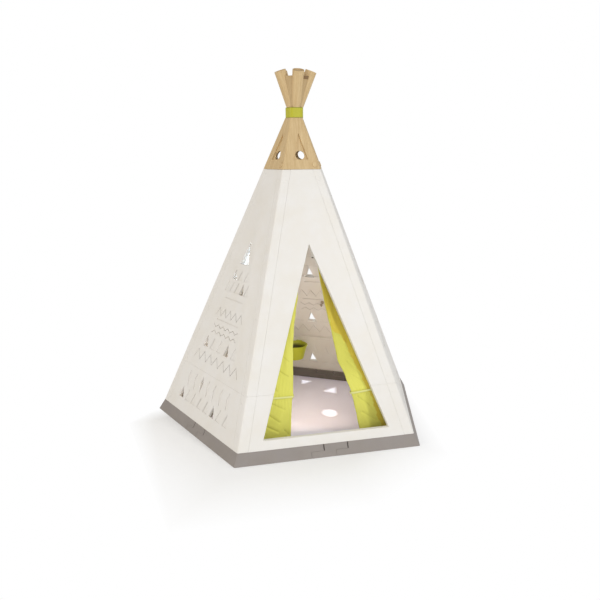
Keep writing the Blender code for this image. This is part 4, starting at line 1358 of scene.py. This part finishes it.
# Stage. Each lamp: name, place, what it looks at, size, how wide its light spreads, and its light
LAMPS = (
    ("front", (-0.6, -4.6, 1.0), (0, 0, 0.5), 2.0, pi, (0.300, 0.300, 0.296)),
    ("key", (2.2, -4.0, 3.0), (0, 0, 0.6), 0.5, pi, (0.520, 0.520, 0.515)),
    ("left", (-4.2, -0.8, 2.6), (0, 0, 0.6), 2.5, pi, (0.440, 0.390, 0.320)),
    ("inside", (0.0, -0.31, 0.33), (0.1, 0.5, 0.06), 0.5, pi, (0.0104, 0.0081, 0.0066)),
    ("inside left", (0.20, -0.22, 0.50), (-0.35, 0.25, 0.42), 0.3, pi, (0.0058, 0.0050, 0.0043)),
    ("window", (0.13, -0.22, 0.83), (-0.22, 0.05, 0.93), 0.1, radians(70), (0.0040, 0.0049, 0.0058)),
)
CAMERA_AT = Vector((-0.9248, -3.7254, 1.4471))
CAMERA_TURN = (radians(-14.538), radians(12.082), radians(-0.413))   # azimuth, elevation and roll

FLOOR_RADIUS = 30
FLOOR_Z = -0.0005
BASE_APOTHEM = 0.6456    # from the tent's axis to the middle of each of the base's sides
UNDER_BASE = -0.02       # this far inside the base's outline the floor is the floor inside
FLOOR_NEAR = 0.10        # the floor's own shading fades to plain white between these distances from the base
FLOOR_FAR = 0.50
FLOOR_RIGHT = 0.05       # and sooner beyond these places, measured from the tent's axis
FLOOR_BACK = 0.06
FLOOR_LEFT = -0.80
FLOOR_SOONER = (0.7, 3.0, 2.0)   # how much sooner at the right, the back and the left
# What the floor shows of light that falls on it, and how it glows, near the tent and inside it; the glow
# inside the tent is painted light
FLOOR_OPEN = (0.92, 0.925, 0.93, 1)
FLOOR_INSIDE = (0.93, 0.92, 0.97, 1)
FLOOR_UNSEEN = (0.80, 0.80, 0.80, 1)
GLOW_OPEN = (0.08, 0.08, 0.08, 1)
GLOW_INSIDE = (0.02, 0.02, 0.06, 1)
PAINTED_LIGHT_GLOW = (0.55, 0.56, 0.66, 1)
# Painted light on the floor where light falls through the walls' openings: two triangles and a round patch,
# from the tent's axis
PAINTED_LIGHT_SPOTS = (((0.146, 0.433), (0.217, 0.466), (0.162, 0.514)), ((0.297, 0.207), (0.326, 0.317), (0.237, 0.267)))
PAINTED_LIGHT_ROUND = ((0.165, -0.094), (0.040, 0.052))
SPOT_SOFTNESS = 0.014
ROUND_SOFTNESS = 0.35


def triangle_mask(x, y, corners):
    """Where a place lies inside a triangle whose corners run counter-clockwise."""
    mask = 1.0
    for (x0, y0), (x1, y1) in zip(corners, corners[1:] + corners[:1]):
        length = hypot(x1 - x0, y1 - y0)
        inside = (x - x0) * ((y0 - y1) / length) + (y - y0) * ((x1 - x0) / length)
        mask = mathed("MULTIPLY", mask, mapped(inside, -SPOT_SOFTNESS / 2, SPOT_SOFTNESS / 2))
    return mask


def beyond_base(x, y):
    """How far a place on the floor lies outside the base's outline."""
    farthest = -1.0
    for k in range(5):
        angle = k * TURN - pi / 2
        farthest = mathed("MAXIMUM", farthest, x * cos(angle) + y * sin(angle))
    return farthest - BASE_APOTHEM


def painted_light_mask(x, y):
    """Where light through the openings is painted on the floor as a glow."""
    total = 0.0
    for corners in PAINTED_LIGHT_SPOTS:
        total = mathed("MAXIMUM", total, triangle_mask(x, y, corners))
    (middle_x, middle_y), (half_x, half_y) = PAINTED_LIGHT_ROUND
    squares = ((x - middle_x) / half_x) ** 2.0 + ((y - middle_y) / half_y) ** 2.0
    return mathed("MAXIMUM", total, mapped(squares, 1 + ROUND_SOFTNESS, 1 - ROUND_SOFTNESS))


def floor_paint():
    """Matt white that shows plain white to the camera far off and holds the shadow near the tent, with
    painted light glowing inside the tent and in spots there.
    """
    made, tree, shader, place = started("Pale floor")
    path = wires(tree, add(tree, "ShaderNodeLightPath"))
    seen = mathed("MAXIMUM", path["Is Camera Ray"], path["Is Glossy Ray"])
    level = parts(place)
    x, y = level["X"], level["Y"] - AXIS_Y
    beyond = beyond_base(x, y)
    inside = mathed("LESS_THAN", beyond, UNDER_BASE)
    away = beyond
    for past, by in zip((x - FLOOR_RIGHT, y - FLOOR_BACK, FLOOR_LEFT - x), FLOOR_SOONER):
        away = away + mathed("MAXIMUM", past, 0.0) * by
    near = mapped(away, FLOOR_NEAR, FLOOR_FAR, 1.0, 0.0)
    paint = mix_colours(inside, mix_colours(near, BLACK, FLOOR_OPEN), FLOOR_INSIDE)
    painted_light = mix_colours(painted_light_mask(x, y), GLOW_INSIDE, PAINTED_LIGHT_GLOW)
    glow = mix_colours(inside, mix_colours(near, WHITE, GLOW_OPEN), painted_light)
    connect(shader, {"Base Color": mix_colours(seen, FLOOR_UNSEEN, paint),
                     "Emission Color": mix_colours(seen, BLACK, glow), "Emission Strength": 1.0,
                     "Roughness": 0.9, "Specular IOR Level": 0.0})
    return made


def lamp(name, at, towards, size, spread, watts, colour):
    """A square soft light."""
    light = bpy.data.lights.new(name, "AREA")
    light.size = size
    light.spread = spread
    light.energy = watts
    light.color = colour
    obj = linked(name, light)
    obj.location = at
    obj.rotation_euler = (Vector(towards) - Vector(at)).to_track_quat("-Z", "Y").to_euler()


class TENT_OT_stage(bpy.types.Operator):
    """Lay the pale floor and set the lamps, the sky and the camera"""
    bl_idname = "tent.stage"
    bl_label = "Stage"

    def execute(self, context):
        scene = context.scene
        stage = scene.tent_stage
        bm = bmesh.new()
        bmesh.ops.create_circle(bm, cap_ends=True, segments=64, radius=FLOOR_RADIUS)
        floor = linked("floor", plain_mesh("floor", bm))
        floor.data.materials.append(floor_paint())
        floor.location.z = FLOOR_Z

        for name, at, towards, size, spread, colour in LAMPS:
            brightest = max(colour)
            lamp(name, at, towards, size, spread, stage.lamps * brightest,
                 tuple(channel / brightest for channel in colour))

        scene.world = bpy.data.worlds.new("Sky")
        scene.world.use_nodes = True
        tree = scene.world.node_tree
        seen = wire(tree, "ShaderNodeLightPath", None, "Is Camera Ray")
        strength = wire(tree, "ShaderNodeMix", {0: seen, 2: stage.sky, 3: 1.0})
        connect(tree.nodes["Background"], {"Color": WHITE, "Strength": strength})

        azimuth, elevation, roll = CAMERA_TURN
        back = Vector((sin(azimuth) * cos(elevation), -cos(azimuth) * cos(elevation), sin(elevation)))
        right = Vector((cos(azimuth), sin(azimuth), 0))
        turn = Matrix((right, back.cross(right), back)).transposed() @ Matrix.Rotation(roll, 3, "Z")
        camera = linked("Camera", bpy.data.cameras.new("Camera"))
        camera.data.sensor_width = 36
        camera.data.lens = stage.lens
        camera.matrix_world = Matrix.Translation(CAMERA_AT) @ turn.to_4x4()
        scene.camera = camera
        scene.view_settings.view_transform = "Standard"
        return {"FINISHED"}


class TENT_OT_finishes(bpy.types.Operator):
    """Mix the finishes that the pieces share"""
    bl_idname = "tent.finishes"
    bl_label = "Finishes"

    def execute(self, context):
        make_finishes(context.scene.tent_colours)
        return {"FINISHED"}


STEPS = (TENT_OT_stage, TENT_OT_finishes, TENT_OT_walls, TENT_OT_seals, TENT_OT_base, TENT_OT_cap,
         TENT_OT_crown, TENT_OT_band, TENT_OT_curtains, TENT_OT_ties, TENT_OT_hooks, TENT_OT_screws)


class TENT_PT_looks(bpy.types.Panel):
    """The steps that dress the tent, and their settings"""
    bl_idname = "TENT_PT_looks"
    bl_label = "Play Tent"
    bl_space_type = "VIEW_3D"
    bl_region_type = "UI"
    bl_category = "Play Tent"

    def draw(self, context):
        for step in STEPS:
            self.layout.operator(step.bl_idname)
        for name in SETTINGS:
            settings = getattr(context.scene, name)
            box = self.layout.box()
            for setting in settings.__annotations__:
                box.prop(settings, setting)


SETTINGS = {"tent_colours": TentColours, "tent_sizes": TentSizes, "tent_stage": TentStage}
CLASSES = tuple(SETTINGS.values()) + STEPS + (TENT_PT_looks,)


def register():
    for cls in CLASSES:
        bpy.utils.register_class(cls)
    for name, cls in SETTINGS.items():
        setattr(bpy.types.Scene, name, bpy.props.PointerProperty(type=cls))


def unregister():
    for name in SETTINGS:
        delattr(bpy.types.Scene, name)
    for cls in reversed(CLASSES):
        bpy.utils.unregister_class(cls)


def main():
    register()
    for step in STEPS:
        area, name = step.bl_idname.split(".")
        getattr(getattr(bpy.ops, area), name)()


if __name__ == "__main__":
    main()
